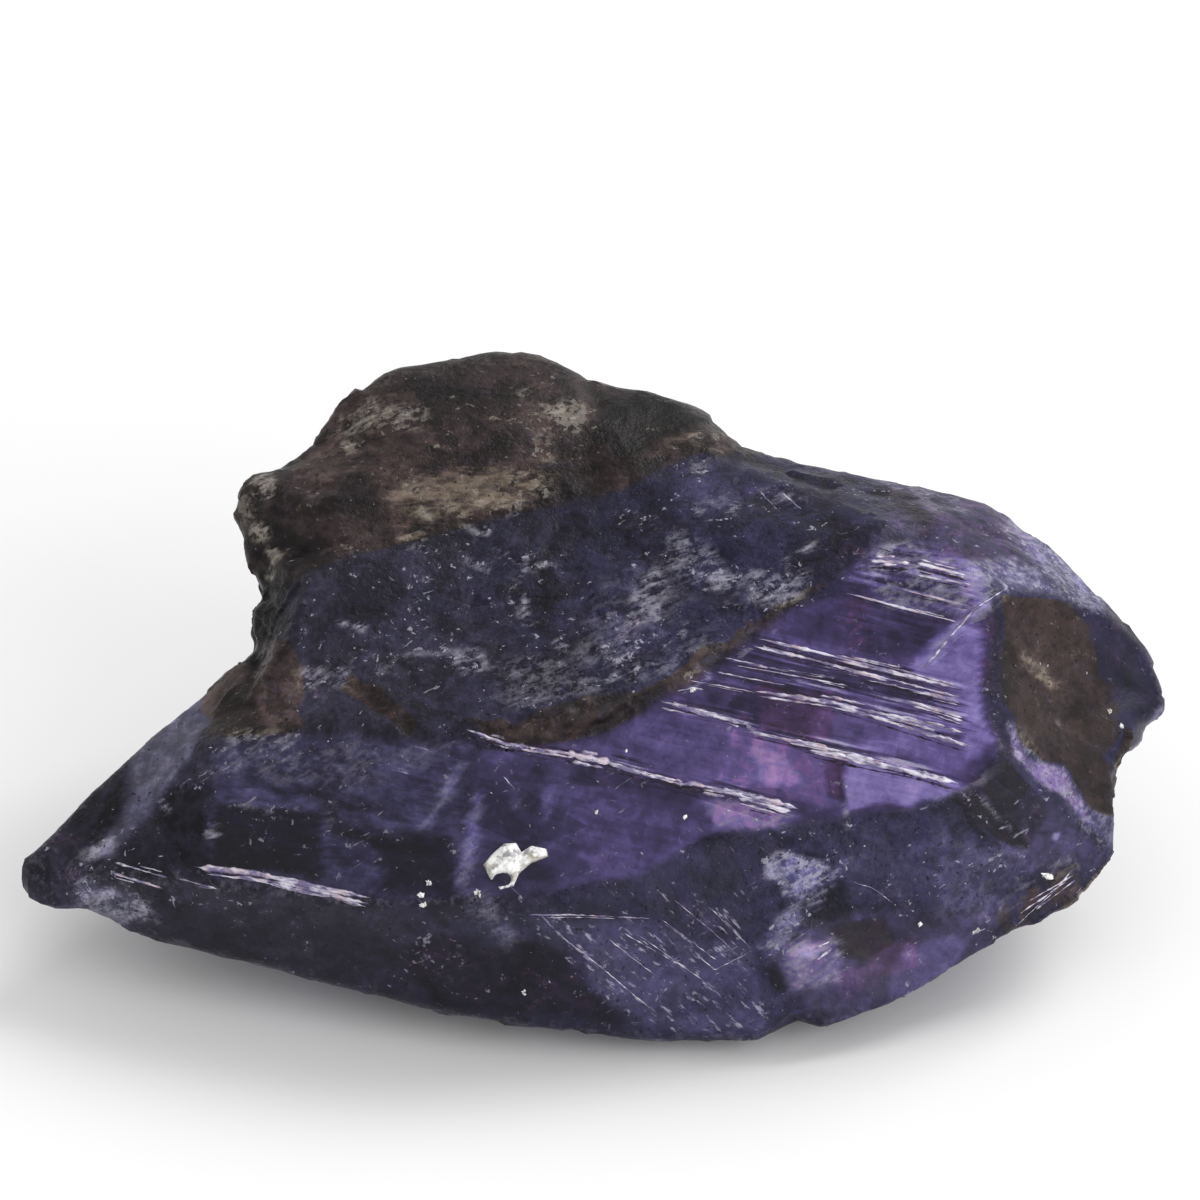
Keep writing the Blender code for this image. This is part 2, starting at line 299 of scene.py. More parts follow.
# Straight-sided patches of the front: outline, width of the soft edge, and what the patch does. tone lightens
# or darkens, and the others are how much of that look there is.
AREAS = (
    # The striated face. Its lighter violet tones are partly the crystal's colour zoning and partly painted
    # light shining through it.
    (((6.4, -1.45), (9.3, -2.1), (9.7, -2.2), (8.9, -2.6), (7.2, -2.75), (6.35, -3.0)), 0.12,
     {"tone": 0.26}),
    (((8.2, 1.0), (9.2, 2.1), (9.9, 1.9), (9.95, -0.3), (10.3, -1.2), (9.6, -1.6), (9.4, -0.3), (8.0, 0.5)),
     0.2, {"tone": 0.22}),
    (((5.8, 0.3), (9.4, -0.4), (9.7, -1.3), (9.2, -2.0), (6.8, -1.4), (5.6, -1.0)), 0.25, {"tone": 0.14}),
    (((1.7, 0.1), (3.6, -0.5), (3.4, -2.2), (0.4, -1.5), (-0.4, -1.2)), 0.2, {"tone": 0.05}),
    (((-1.2, -1.9), (0.5, -2.3), (2.7, -2.9), (2.8, -3.2), (1.4, -4.2), (-0.6, -4.6), (-1.6, -3.4)), 0.4,
     {"tone": -0.02}),
    # Pink patches here: partly the crystal's colour, partly painted light reflected inside it.
    (((3.4, -0.9), (4.1, -1.0), (6.2, -1.5), (6.3, -2.9), (4.9, -2.5), (3.0, -2.2)), 0.3, {"tone": 0.12,
     "rose": 0.6}),
    (((3.9, -1.3), (4.9, -1.5), (5.4, -2.3), (4.2, -2.2)), 0.25, {"tone": 0.12, "rose": 0.9, "haze": 0.35}),
    (((5.8, -1.6), (6.35, -1.6), (6.3, -2.8), (5.9, -2.6)), 0.15, {"tone": -0.16, "rose": 0.9}),
    (((2.7, -2.55), (3.7, -2.7), (5.3, -3.0), (4.4, -3.3), (3.0, -3.3)), 0.2, {"tone": 0.2, "rose": 0.8,
     "haze": 0.6}),
    (((7.1, 2.6), (6.9, 3.9), (8.2, 4.2), (9.9, 3.4), (10.0, 2.2)), 0.3, {"tone": 0.06, "haze": 0.7,
     "rose": 0.1}),
    (((5.0, 1.7), (6.4, 2.6), (8.4, 2.4), (8.9, 1.7), (7.8, 1.0)), 0.2, {"tone": -0.05}),
    (((6.4, 1.2), (6.3, 2.7), (6.9, 2.9), (7.2, 1.2)), 0.2, {"tone": -0.05, "rose": 0.45}),
    (((4.0, 0.4), (6.1, 0.2), (6.2, -0.6), (6.0, -1.15), (4.2, -0.8)), 0.15, {"tone": -0.07, "rose": 1.2}),
    (((2.4, 0.6), (4.0, 0.5), (4.1, -0.7), (3.0, -0.3)), 0.3, {"tone": -0.1}),
    (((-0.6, -1.6), (2.6, -2.3), (2.4, -2.8), (-0.9, -2.1)), 0.3, {"tone": -0.12}),
    (((-3.4, -1.5), (-1.4, -1.6), (-1.8, -3.6), (-1.2, -4.9), (-3.5, -5.0)), 0.4, {"tone": -0.12}),
    # The blue band.
    (((-10.0, -1.1), (-3.4, -1.2), (-6.0, -2.4), (-10.0, -2.0)), 0.4, {"tone": 0.05, "haze": 0.25}),
    (((-5.6, -1.2), (-4.1, -1.3), (-4.3, -3.2), (-5.3, -3.1)), 0.2, {"tone": 0.05}),
    (((-9.9, -2.7), (-7.4, -3.0), (-7.2, -4.6), (-10.1, -4.4)), 0.15, {"tone": -0.3}),
    (((-7.2, -2.7), (-6.0, -2.9), (-5.9, -4.3), (-7.1, -4.2)), 0.15, {"tone": -0.13}),
    (((-5.9, -3.3), (-3.7, -3.7), (-3.7, -5.0), (-5.6, -5.0)), 0.3, {"tone": -0.26}),
    # The hollow end and the dark flank.
    (((9.98, 2.3), (10.45, 2.6), (10.52, 2.1), (10.3, 1.0), (10.45, -0.1), (10.75, -1.2), (10.4, -1.55),
     (10.1, -0.6), (9.95, 0.8)), 0.08, {"tone": -0.12, "rose": 0.4}),
    (((10.5, -0.4), (11.1, -1.4), (12.1, -1.75), (12.9, -3.4), (12.4, -3.0), (10.65, -1.4)), 0.15,
     {"tone": 0.36, "rose": 1.0, "haze": 0.7}),
    (((12.75, -2.9), (13.5, -3.0), (13.7, -4.2), (12.9, -3.5)), 0.15, {"tone": 0.2, "haze": 0.4}),
    (((10.17, -2.0), (10.42, -1.62), (11.08, -2.15), (10.85, -2.5)), 0.08, {"tone": -0.7}),
    (((9.93, -2.35), (10.1, -2.08), (10.78, -2.6), (10.6, -2.88)), 0.08, {"tone": -0.7}),
    (((9.15, -2.4), (10.4, -1.47), (11.6, -2.6), (11.2, -3.9), (10.4, -3.6)), 0.12, {"tone": -0.18,
     "rose": 0.3}),
    (((10.95, -2.45), (11.4, -2.3), (12.9, -3.8), (12.9, -4.3), (12.3, -4.5), (11.2, -3.6)), 0.15,
     {"tone": 0.04}),
    (((10.5, 1.9), (10.85, 2.7), (12.0, 2.5), (12.6, 1.6), (12.9, 0.2), (12.0, -1.2), (10.9, -0.6)), 0.6,
     {"tone": 0.02, "tan": 0.15}),
    (((12.3, 2.5), (13.4, 2.3), (14.9, 1.0), (14.9, -0.1), (14.1, -0.4), (13.2, 1.4)), 0.4, {"tone": -0.1,
     "rose": 0.4}),
    (((15.2, 0.1), (14.74, -0.15), (13.5, -1.4), (13.6, -1.9), (14.5, -1.4)), 0.1, {"tone": 0.4,
     "haze": 0.5}),
    # The pale top edge: partly pale dusty crystal, partly a painted highlight on the rim that faces the
    # light.
    (((7.5, 5.6), (10.2, 5.2), (11.2, 4.5), (11.6, 3.6), (10.3, 3.2), (9.0, 3.8), (8.2, 4.3), (7.4, 4.7)),
     0.3, {"tone": 0.08, "rose": 0.6}),
    (((10.2, 5.2), (11.4, 4.6), (13.5, 2.4), (12.4, 2.5), (11.2, 3.3), (10.8, 4.3)), 0.3, {"tone": 0.22,
     "haze": 0.75}),
    (((9.3, 3.6), (10.9, 3.7), (12.0, 2.7), (10.8, 2.9), (10.1, 2.3), (9.6, 2.8)), 0.2, {"tone": 0.24,
     "haze": 0.7}),
    (((7.1, 6.0), (9.9, 5.4), (9.7, 5.0), (7.3, 5.5)), 0.2, {"tone": 0.18, "haze": 0.6}),
    (((7.9, 5.2), (8.4, 5.15), (8.85, 4.3), (8.5, 4.3)), 0.15, {"tone": -0.2, "rose": 0.5}),
    # The slate.
    (((6.1, 4.6), (7.1, 4.4), (7.0, 3.7), (6.1, 3.9)), 0.3, {"tone": -0.1, "rose": 0.6}),
    (((-8.5, 0.9), (-5.0, 3.8), (5.5, 6.2), (6.2, 3.2), (1.2, 0.4), (-3.0, -0.4)), 0.5, {"tone": -0.02}),
    (((-1.4, 4.6), (0.4, 5.3), (2.0, 5.9), (2.0, 4.4), (0.0, 3.8)), 0.5, {"tone": -0.14}),
    (((2.2, 4.8), (2.7, 6.2), (5.8, 6.0), (5.6, 4.4)), 0.6, {"tone": 0.06}),
    (((-0.6, 0.6), (0.4, 3.4), (2.4, 3.2), (2.2, 1.2)), 0.7, {"tone": 0.06, "haze": 0.2}),
    (((1.7, 3.4), (1.7, 4.2), (2.6, 4.0), (3.9, 3.3), (3.4, 2.7), (2.3, 3.0)), 0.3, {"haze": 0.65,
     "tone": 0.06}),
    (((3.8, 2.4), (3.9, 3.4), (5.4, 3.4), (4.9, 2.5)), 0.4, {"haze": 0.75, "tone": 0.04}),
    (((0.8, 1.6), (0.9, 2.9), (1.5, 3.5), (1.9, 2.9), (1.5, 2.2)), 0.2, {"haze": 0.75, "tone": 0.05,
     "rose": 0.7}),
    (((-4.0, 1.25), (-3.2, 1.3), (-2.8, 0.8), (-3.6, 0.5)), 0.25, {"haze": 0.8}),
    (((-7.9, 0.9), (-6.3, 0.8), (-6.4, 0.3), (-7.8, 0.2)), 0.3, {"haze": 0.65}),
    (((-9.8, -0.75), (-8.0, -0.7), (-7.8, -1.3), (-9.6, -1.5)), 0.3, {"haze": 0.6}),
    # The brown cheek and shoulder.
    (((-8.9, 1.3), (-7.6, 1.2), (-6.8, 0.3), (-7.2, -0.4), (-8.8, -0.5)), 0.4, {"tone": 0.18, "rose": 0.5}),
    (((-10.2, -0.7), (-9.3, 1.3), (-8.7, 1.2), (-8.8, -0.7)), 0.25, {"tone": -0.16}),
    (((-9.3, 3.3), (-8.3, 3.2), (-8.3, 1.8), (-9.3, 1.7)), 0.35, {"tone": -0.4}),
    (((-10.0, 6.3), (-8.5, 6.0), (-8.1, 4.5), (-8.7, 3.2), (-9.7, 4.0)), 0.4, {"tone": 0.02}),
    (((-5.0, 6.2), (-4.7, 8.4), (-2.6, 8.0), (-1.6, 6.4)), 0.6, {"tone": -0.1}),
    (((-3.1, 8.0), (-3.0, 9.3), (-1.7, 9.2), (-1.6, 8.2)), 0.5, {"tone": 0.04}),
    (((-1.7, 7.6), (-1.1, 7.5), (-0.7, 7.8), (-0.35, 7.6), (-0.5, 7.0), (-1.1, 7.1)), 0.2, {"haze": 1.8,
     "tan": 0.3}),
    (((-7.2, 6.8), (-6.1, 7.8), (-4.6, 7.6), (-4.7, 7.2), (-6.2, 7.0)), 0.35, {"tone": 0.12, "haze": 0.95}),
    (((-8.4, 5.9), (-6.4, 7.0), (-5.7, 6.5), (-7.5, 5.3)), 0.5, {"tone": 0.14, "tan": 0.4}),
    (((-5.9, 4.8), (-4.9, 6.0), (-1.0, 6.1), (-0.8, 5.3), (-2.4, 4.6), (-4.6, 4.3)), 0.9, {"tone": 0.13,
     "tan": 0.9}),
    (((1.0, 6.2), (2.0, 7.2), (3.8, 7.0), (4.2, 6.6), (2.7, 6.4)), 0.4, {"tone": -0.04, "tan": 0.5}),
    (((-0.4, 6.6), (0.0, 8.0), (2.0, 8.2), (3.0, 7.6), (2.2, 7.0), (0.8, 6.2)), 0.5, {"tone": -0.22}),
    (((0.2, 7.3), (0.8, 8.6), (3.8, 8.2), (5.3, 6.9), (4.4, 6.5), (2.6, 7.4)), 0.4, {"tone": -0.14}),
    # The bevel and the pointed tip.
    (BEVEL, 0.15, {"tone": 0.35}),
    (((-12.2, -1.8), (-11.0, -1.5), (-10.9, -2.0), (-11.9, -3.3)), 0.12, {"tone": 0.08}),
    (((-13.4, -3.4), (-12.3, -1.8), (-12.2, -2.6), (-12.6, -3.3)), 0.2, {"tone": -0.28, "rose": 0.2}),
    (((-11.7, -2.3), (-10.2, -1.9), (-10.1, -4.4), (-11.4, -4.3)), 0.35, {"tone": -0.14}),
    (((-15.3, -3.8), (-13.9, -3.4), (-13.5, -4.6), (-14.6, -5.4)), 0.3, {"tone": -0.01, "rose": 0.5}),
    (((-14.0, -4.6), (-12.4, -4.7), (-11.6, -5.6), (-12.6, -5.9), (-13.7, -5.2)), 0.35, {"tone": 0.28,
     "haze": 0.8}),
    # The lower faces.
    (((-12.5, -5.2), (-4.4, -5.5), (-3.6, -6.2), (-6.0, -8.0), (-12.6, -6.6)), 0.4, {"tone": -0.04}),
    (((-3.6, -5.0), (-2.9, -4.9), (-2.0, -6.2), (-2.4, -6.5)), 0.2, {"tone": 0.16, "haze": 0.3}),
    (((-4.8, -6.4), (-0.6, -6.2), (-0.2, -7.3), (0.8, -8.6), (-4.6, -7.9)), 0.4, {"tone": -0.2,
     "rose": 0.4}),
    (((-1.8, -5.6), (1.4, -5.7), (4.0, -6.4), (4.4, -8.7), (1.4, -8.7), (-0.4, -7.3)), 0.3, {"tone": 0.18,
     "score": 0.8}),
    (((1.4, -4.5), (3.9, -4.9), (4.3, -6.4), (1.6, -5.7), (0.6, -5.3)), 0.4, {"score": 0.45}),
    (((2.9, -3.5), (4.4, -3.4), (4.2, -5.4), (1.9, -5.2)), 0.4, {"tone": -0.02}),
    # The pale flake and the window. The window's pink patches are partly the crystal's colour and partly
    # painted light reflected inside it.
    (((4.25, -4.2), (4.6, -3.9), (5.4, -4.0), (5.95, -4.35), (5.75, -4.7), (5.2, -5.15), (4.7, -4.95),
     (4.35, -4.6)), 0.12, {"tone": 0.36, "haze": 1.1}),
    (((6.5, -4.1), (5.9, -4.6), (5.0, -5.2), (4.1, -6.3), (4.4, -6.8), (5.2, -5.9), (6.0, -5.0)), 0.15,
     {"tone": 0.26, "haze": 0.5}),
    (((5.4, -4.8), (6.4, -4.7), (6.6, -5.7), (5.2, -5.9)), 0.25, {"tone": -0.2}),
    (((6.0, -5.9), (7.3, -5.7), (7.7, -6.2), (6.9, -6.8), (6.2, -6.6)), 0.15, {"tone": -0.32, "rose": 0.9}),
    (((6.9, -6.3), (8.3, -5.9), (8.3, -6.9), (6.9, -7.3)), 0.3, {"tone": 0.02, "rose": 1.2}),
    (((4.8, -6.4), (5.3, -6.1), (6.3, -6.2), (6.2, -7.3), (5.0, -7.5)), 0.25, {"tone": 0.24, "rose": 0.6,
     "haze": 0.6}),
    (((6.1, -7.0), (7.4, -6.8), (7.2, -7.6), (6.2, -7.9)), 0.3, {"tone": 0.06, "rose": 0.85}),
    (((7.9, -6.3), (9.8, -6.0), (9.0, -7.3), (7.3, -7.8)), 0.3, {"tone": 0.17}),
    (((8.8, -3.6), (11.4, -3.8), (11.0, -5.8), (8.8, -5.6)), 0.5, {"tone": 0.14, "haze": 0.1}),
    (((6.4, -3.0), (9.2, -3.0), (9.0, -4.8), (6.5, -4.5)), 0.4, {"tone": 0.09}),
)

# Soft spots, as ovals: middle, half length and half height, turn in degrees, and what the spot does.
SPOTS = (
    ((-8.75, 5.5), (0.42, 0.4), 0, {"haze": 2.2, "tone": 0.2}),
    ((-8.85, 4.35), (0.34, 0.3), -40, {"haze": 2.2, "tone": 0.2}),
    ((-8.6, 3.8), (0.28, 0.3), 0, {"haze": 2.0, "tone": 0.2}),
    ((-8.65, 3.3), (0.25, 0.25), 0, {"haze": 1.6}),
    ((-9.3, 5.0), (0.5, 0.6), 0, {"haze": 0.9, "tone": 0.16}),
    ((-1.0, -0.55), (1.6, 0.4), 6, {"tone": 0.08}),
    ((-6.5, 6.6), (0.36, 0.16), 0, {"haze": 1.6}),
    ((-6.5, 1.92), (0.45, 0.12), -8, {"haze": 0.9}),
    ((-5.0, 4.2), (0.55, 0.16), 5, {"tan": 1.0, "haze": 0.4}),
    ((2.8, 6.1), (0.25, 0.4), -15, {"haze": 0.7, "rose": 0.3}),
    ((0.2, 1.2), (1.5, 0.7), 0, {"haze": 0.35}),
    ((-1.4, 2.9), (0.55, 0.8), 15, {"tone": -0.14}),
    ((-6.3, 2.6), (1.6, 0.9), 10, {"tone": -0.06}),
    ((-1.6, 0.7), (1.4, 0.6), -10, {"haze": 0.4}),
    ((11.5, 0.7), (1.2, 0.36), -45, {"tan": 0.75, "tone": 0.16, "haze": 0.3}),
    ((12.2, -0.5), (1.2, 0.6), -40, {"tan": 0.35}),
    ((-13.4, -4.1), (0.7, 0.25), 40, {"haze": 0.9, "tone": 0.1}),
    ((-12.8, -4.9), (0.9, 0.14), -6, {"haze": 1.0, "tone": 0.15}),
    ((-11.9, -5.6), (0.5, 0.14), -20, {"haze": 0.9}),
    ((-8.7, -1.05), (0.5, 0.14), 5, {"haze": 0.9}),
    # A painted glint on the window.
    ((5.5, -6.4), (0.5, 0.25), 10, {"haze": 0.8, "tone": 0.3}),
    ((5.5, -0.3), (0.8, 0.4), -10, {"rose": 0.6}),
    # A painted blue glint.
    ((11.9, -3.5), (0.22, 0.16), 40, {"tone": 0.5}),
    ((8.9, 5.0), (1.1, 0.25), -18, {"haze": 0.5}),
    ((-2.2, 3.6), (0.9, 0.12), -30, {"haze": 0.45}),
    ((3.0, 5.2), (0.7, 0.35), 20, {"haze": 0.3}),
)

# Strokes: route, width, and what the stroke does.
STROKES = (
    (((6.4, -2.1), (6.35, -3.4)), 0.1, {"haze": 0.7}),
    (((-3.4, -1.5), (-3.9, -2.2), (-4.3, -2.9), (-4.5, -3.5)), 0.22, {"tone": 0.2, "haze": 0.35}),
    (((-3.15, -2.2), (-3.3, -3.4), (-3.6, -5.0)), 0.22, {"tone": 0.22, "haze": 0.4}),
    (((-2.3, -2.1), (-2.2, -2.9)), 0.2, {"tone": 0.14, "haze": 0.2}),
    (((-1.3, -2.4), (-1.4, -3.2)), 0.2, {"tone": 0.14, "haze": 0.2}),
    (((10.5, -0.4), (11.5, -1.7), (12.5, -2.9), (13.4, -4.0)), 0.3, {"haze": 0.5}),
    # Along the upper right rim: partly pale dust, partly a painted highlight.
    (((10.9, 4.6), (12.0, 3.7), (13.4, 2.3)), 0.25, {"haze": 0.9, "tone": 0.15}),
    (((7.1, 5.6), (7.9, 5.2), (8.6, 4.6)), 0.18, {"tone": -0.3}),
    (((-13.4, -4.2), (-12.6, -3.5)), 0.14, {"haze": 1.0}),
    (((-11.35, -2.5), (-11.4, -2.95)), 0.14, {"haze": 1.1, "tone": 0.2}),
    (((-10.1, -3.2), (-10.15, -3.8)), 0.14, {"haze": 1.1, "tone": 0.2}),
    (((-7.0, -2.6), (-7.0, -3.3)), 0.16, {"haze": 0.5}),
    (((14.95, -0.15), (13.5, -1.8)), 0.15, {"haze": 0.7}),
    (((-7.0, -3.3), (-5.6, -3.7), (-4.0, -4.0)), 0.2, {"tone": -0.25}),
    (((-9.0, -2.3), (-7.6, -2.5), (-6.0, -2.9), (-4.6, -3.2)), 0.1, {"tone": -0.2}),
    (((-9.9, -2.7), (-8.6, -2.9), (-7.6, -2.8)), 0.08, {"haze": 0.6}),
    (((9.2, -2.4), (9.7, -3.0), (10.1, -3.6)), 0.12, {"tone": -0.35}),
    (((9.5, -2.3), (10.0, -2.9), (10.4, -3.4)), 0.1, {"tone": -0.3}),
    (((9.75, -2.4), (10.5, -3.2), (11.1, -3.9)), 0.08, {"haze": 0.6}),
    (((4.4, -6.9), (4.9, -7.6)), 0.2, {"tone": -0.25}),
    (((-0.9, 3.5), (-2.0, 3.4), (-2.3, 2.7), (-1.9, 2.0), (-1.2, 1.9)), 0.14, {"haze": 0.45}),
    (((-5.9, 0.6), (-4.9, 1.2), (-4.0, 1.1)), 0.12, {"haze": 0.4}),
    (((-3.2, 0.0), (-1.6, 0.15), (0.2, 0.5), (2.0, 1.0), (3.4, 1.9)), 0.45, {"haze": 0.35}),
    (RIDGE, 0.12, {"haze": 0.5, "tone": 0.15}),
    (((9.3, -2.45), (10.0, -3.1), (10.9, -3.8)), 0.14, {"tone": -0.3, "rose": 0.5}),
    (((9.9, -2.55), (10.6, -3.2), (11.3, -3.9)), 0.12, {"tone": -0.3, "rose": 0.5}),
    (((-13.2, -4.15), (-12.9, -3.9), (-12.6, -3.6)), 0.18, {"haze": 1.0, "tone": 0.2}),
    (LEDGES[0], 0.3, {"stria": 1.0, "rose": 0.35}),
    (LEDGES[1], 0.3, {"stria": 1.0, "rose": 0.35}),
    (((10.6, -4.9), (12.6, -4.1)), 0.4, {"haze": 0.3}),
)
# Short pale streaks of crushed crystal on the slate, and of pale fibres on the brown skin: route and width.
SLATE_STREAKS = (
    (((1.55, 3.33), (1.1, 2.5)), 0.22),
    (((1.7, 2.8), (1.3, 2.1)), 0.22),
    (((1.1, 2.3), (0.7, 1.67)), 0.26),
    (((2.27, 2.1), (2.0, 1.6)), 0.16),
    (((0.45, 1.7), (0.86, 1.5)), 0.16),
    (((2.5, 5.1), (2.6, 4.7)), 0.2),
    (((4.25, 5.5), (4.8, 4.95)), 0.18),
    (((4.8, 5.4), (5.3, 5.05)), 0.18),
    (((3.4, 4.8), (3.7, 5.2)), 0.16),
    (((5.2, 3.9), (5.8, 4.05)), 0.13),
    (((4.8, 3.75), (5.3, 3.3)), 0.16),
    (((3.8, 3.2), (4.7, 2.8)), 0.18),
    (((1.75, 4.1), (2.4, 3.75), (2.5, 3.3)), 0.2),
    (((2.5, 3.0), (2.9, 3.3), (3.3, 2.8)), 0.18),
    (((0.1, 2.2), (0.7, 2.3)), 0.13),
    (((-1.3, 1.55), (-0.85, 1.35)), 0.18),
    (((-4.7, 3.2), (-4.45, 3.15)), 0.12),
    (((-3.6, 3.6), (-2.8, 3.3)), 0.16),
    (((-6.8, 2.0), (-6.0, 1.8)), 0.18),
    (((-3.85, 1.15), (-3.1, 0.75)), 0.22),
    (((-7.8, 0.85), (-7.4, 0.4)), 0.18),
    (((-7.2, 0.6), (-6.7, 0.5)), 0.18),
    (((-2.0, 3.3), (-1.9, 3.65), (-1.55, 3.75)), 0.12),
    (((-2.0, 2.8), (-1.8, 2.1)), 0.15),
    (((-1.35, 1.55), (-1.0, 1.35)), 0.15),
    (((-1.25, 1.0), (-0.8, 0.65)), 0.15),
    (((3.2, 2.6), (3.9, 2.3)), 0.13),
    (((0.2, 1.0), (0.9, 1.15)), 0.13),
)
BROWN_STREAKS = (
    (((-5.1, 5.47), (-4.8, 5.3)), 0.24),
    (((-4.8, 4.85), (-4.35, 4.65)), 0.22),
    (((-4.2, 5.1), (-3.5, 4.7)), 0.22),
    (((-3.4, 5.25), (-2.7, 4.85)), 0.22),
    (((-2.75, 5.05), (-2.0, 4.8)), 0.24),
    (((-1.75, 5.5), (-1.15, 5.2)), 0.32),
    (((-3.65, 4.55), (-2.8, 4.4)), 0.19),
    (((-5.0, 4.15), (-4.6, 4.1)), 0.32),
    (((-2.4, 5.75), (-1.6, 5.7)), 0.19),
    (((-6.9, 7.25), (-5.9, 7.35)), 0.24),
    (((-6.2, 7.5), (-4.9, 7.45)), 0.22),
    (((-5.7, 7.2), (-4.8, 7.15)), 0.19),
    (((-2.2, 8.05), (-1.8, 8.0)), 0.16),
    (((-1.7, 6.68), (-1.3, 6.62)), 0.22),
    (((-8.8, 5.75), (-8.5, 5.4)), 0.35),
    (((-9.0, 4.5), (-8.75, 4.15)), 0.32),
    (((-8.6, 3.95), (-8.55, 3.65)), 0.29),
)

SLATE_STREAK = {"haze": 0.75, "rose": 0.3}
BROWN_STREAK = {"haze": 0.8}

# Where fine growth lines stand out: outline, soft edge, and how many there are.
STRIPED = (
    (((5.6, 1.3), (9.4, 0.45), (9.75, -0.9), (9.3, -1.1), (6.0, -0.15)), 0.25, 0.85),
    (((2.0, 0.5), (3.9, 1.85), (5.9, 1.3), (6.2, -0.2), (4.2, 0.2)), 0.4, 0.55),
    (((6.3, 3.0), (7.0, 3.9), (8.4, 4.0), (9.9, 3.2), (9.7, 2.2), (8.2, 2.7)), 0.3, 0.8),
    (((5.4, 2.2), (7.5, 2.8), (9.0, 2.3), (8.6, 1.4)), 0.4, 0.25),
    (((3.9, -0.9), (9.4, -2.1), (9.2, -2.3), (4.0, -1.1)), 0.3, 0.4),
    (((-10.0, -1.0), (-3.4, -1.1), (-3.6, -4.9), (-10.2, -4.4)), 0.4, 0.22),
)


def cad_triangles(node):
    """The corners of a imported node's triangles, in millimetres."""
    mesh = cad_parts[node].data
    mesh.calc_loop_triangles()
    points = np.empty(len(mesh.vertices) * 3)
    mesh.vertices.foreach_get("co", points)
    corners = np.empty(len(mesh.loop_triangles) * 3, np.int32)
    mesh.loop_triangles.foreach_get("vertices", corners)
    return points.reshape(-1, 3)[corners.reshape(-1, 3)] / MM


# Directions, and places on the skin, are worked through this many at a time.
DIRECTIONS_AT_ONCE = 8192
PLACES_AT_ONCE = 256


def reach(directions, triangles):
    """How far the solid reaches from the heart along each direction. A direction meets the triangle whose
    three side planes through the heart all have it on their inner side, at the triangle's volume over its
    slope."""
    a, b, c = (triangles[:, k] - HEART for k in range(3))
    sides = [np.cross(b, c), np.cross(c, a), np.cross(a, b)]
    volume = np.einsum("ij,ij->i", a, sides[0])
    found = np.empty(len(directions))
    for start in range(0, len(directions), DIRECTIONS_AT_ONCE):
        part = directions[start : start + DIRECTIONS_AT_ONCE]
        inner = [part @ side.T for side in sides]
        hit = np.minimum(np.minimum(*inner[:2]), inner[2]).argmax(axis=1)
        slope = sum(values[np.arange(len(part)), hit] for values in inner)
        found[start : start + DIRECTIONS_AT_ONCE] = volume[hit] / slope
    return found


def softened(grid, times):
    """The grid with each value blended with its neighbours, round and along, that many times."""
    for _ in range(times):
        grid = (np.roll(grid, 1, 1) + 2 * grid + np.roll(grid, -1, 1)) / 4
        inner = (grid[:-2] + 2 * grid[1:-1] + grid[2:]) / 4
        grid = np.concatenate((grid[:1], inner, grid[-1:]))
    return grid


def crystal_directions():
    """Unit directions from the heart, on rings along the growth axis and lines round it. The rings are
    evenly spaced on a long round body as big as the crystal, and the lines are crowded to the front."""
    axis = unit(GROWTH @ FRONT)
    forward = unit(OUT - (OUT @ axis) * axis)
    sideways = np.cross(axis, forward)
    share = np.linspace(0, math.pi, RINGS + 1)[1:-1]
    along = np.arctan2(HALF_GIRTH * np.sin(share), HALF_LENGTH * np.cos(share))[:, None]
    turn = np.arange(LINES) * 2 * math.pi / LINES
    turn = turn - FRONT_CROWDING * np.sin(turn)
    round_ = np.cos(turn)[:, None] * forward + np.sin(turn)[:, None] * sideways
    rings = np.cos(along)[..., None] * axis + np.sin(along)[..., None] * round_[None]
    return rings, axis


def grid_normals(points):
    """Outward unit normals of a closed grid, from the steps to the neighbouring points."""
    along = np.gradient(points, axis=0)
    round_ = np.roll(points, -1, 1) - np.roll(points, 1, 1)
    normals = unit(np.cross(round_, along) + 1e-12)
    flip = np.einsum("ijk,ijk->ij", normals, points - HEART) < 0
    return np.where(flip[..., None], -normals, normals)


def growth_steps(across, up, seed):
    """Fine terraces down the faces: the height rises slowly and drops sharply again and again down the
    slope, with steps of uneven size."""
    cos, sin = unit(GROWTH[:2])
    down = -(up * cos - across * sin)
    line = np.stack((down, 0.04 * across, 0 * down), axis=1)
    uneven = down / 0.34 + 0.9 * waves(line, 0.9, seed) + 0.5 * waves(line, 0.3, seed + 1)
    tooth = uneven - np.floor(uneven)
    return smooth(tooth, 0.0, 0.75) - smooth(tooth, 0.75, 1.0)


def chips(points, cell, seed):
    """Broken facets. Space is a lattice of cells, each with one random seed point. A point belongs to the
    nearest seed, and its height is a flat tilted plane through that seed. Returns the height in millimetres
    for a tilt of one in one, and a random tone from -1 to 1 for each facet."""
    rng = np.random.default_rng(seed)
    seeds = rng.uniform(0, 1, (LATTICE, LATTICE, LATTICE, 3))
    tilts = rng.normal(0, 1, (LATTICE, LATTICE, LATTICE, 3))
    tones = rng.uniform(-1, 1, (LATTICE, LATTICE, LATTICE))
    place = np.asarray(points, float) / cell + LATTICE_SHIFT
    low = np.floor(place).astype(int)
    nearest = np.full(len(place), np.inf)
    height = np.zeros(len(place))
    tone = np.zeros(len(place))
    for step in itertools.product((-1, 0, 1), repeat=3):
        x, y, z = ((low + step) % LATTICE).T
        away = place - (low + step) - seeds[x, y, z]
        apart = (away * away).sum(axis=1)
        closer = apart < nearest
        nearest = np.where(closer, apart, nearest)
        height = np.where(closer, (away * tilts[x, y, z]).sum(axis=1), height)
        tone = np.where(closer, tones[x, y, z], tone)
    return np.clip(height, -0.7, 0.7) * cell, tone


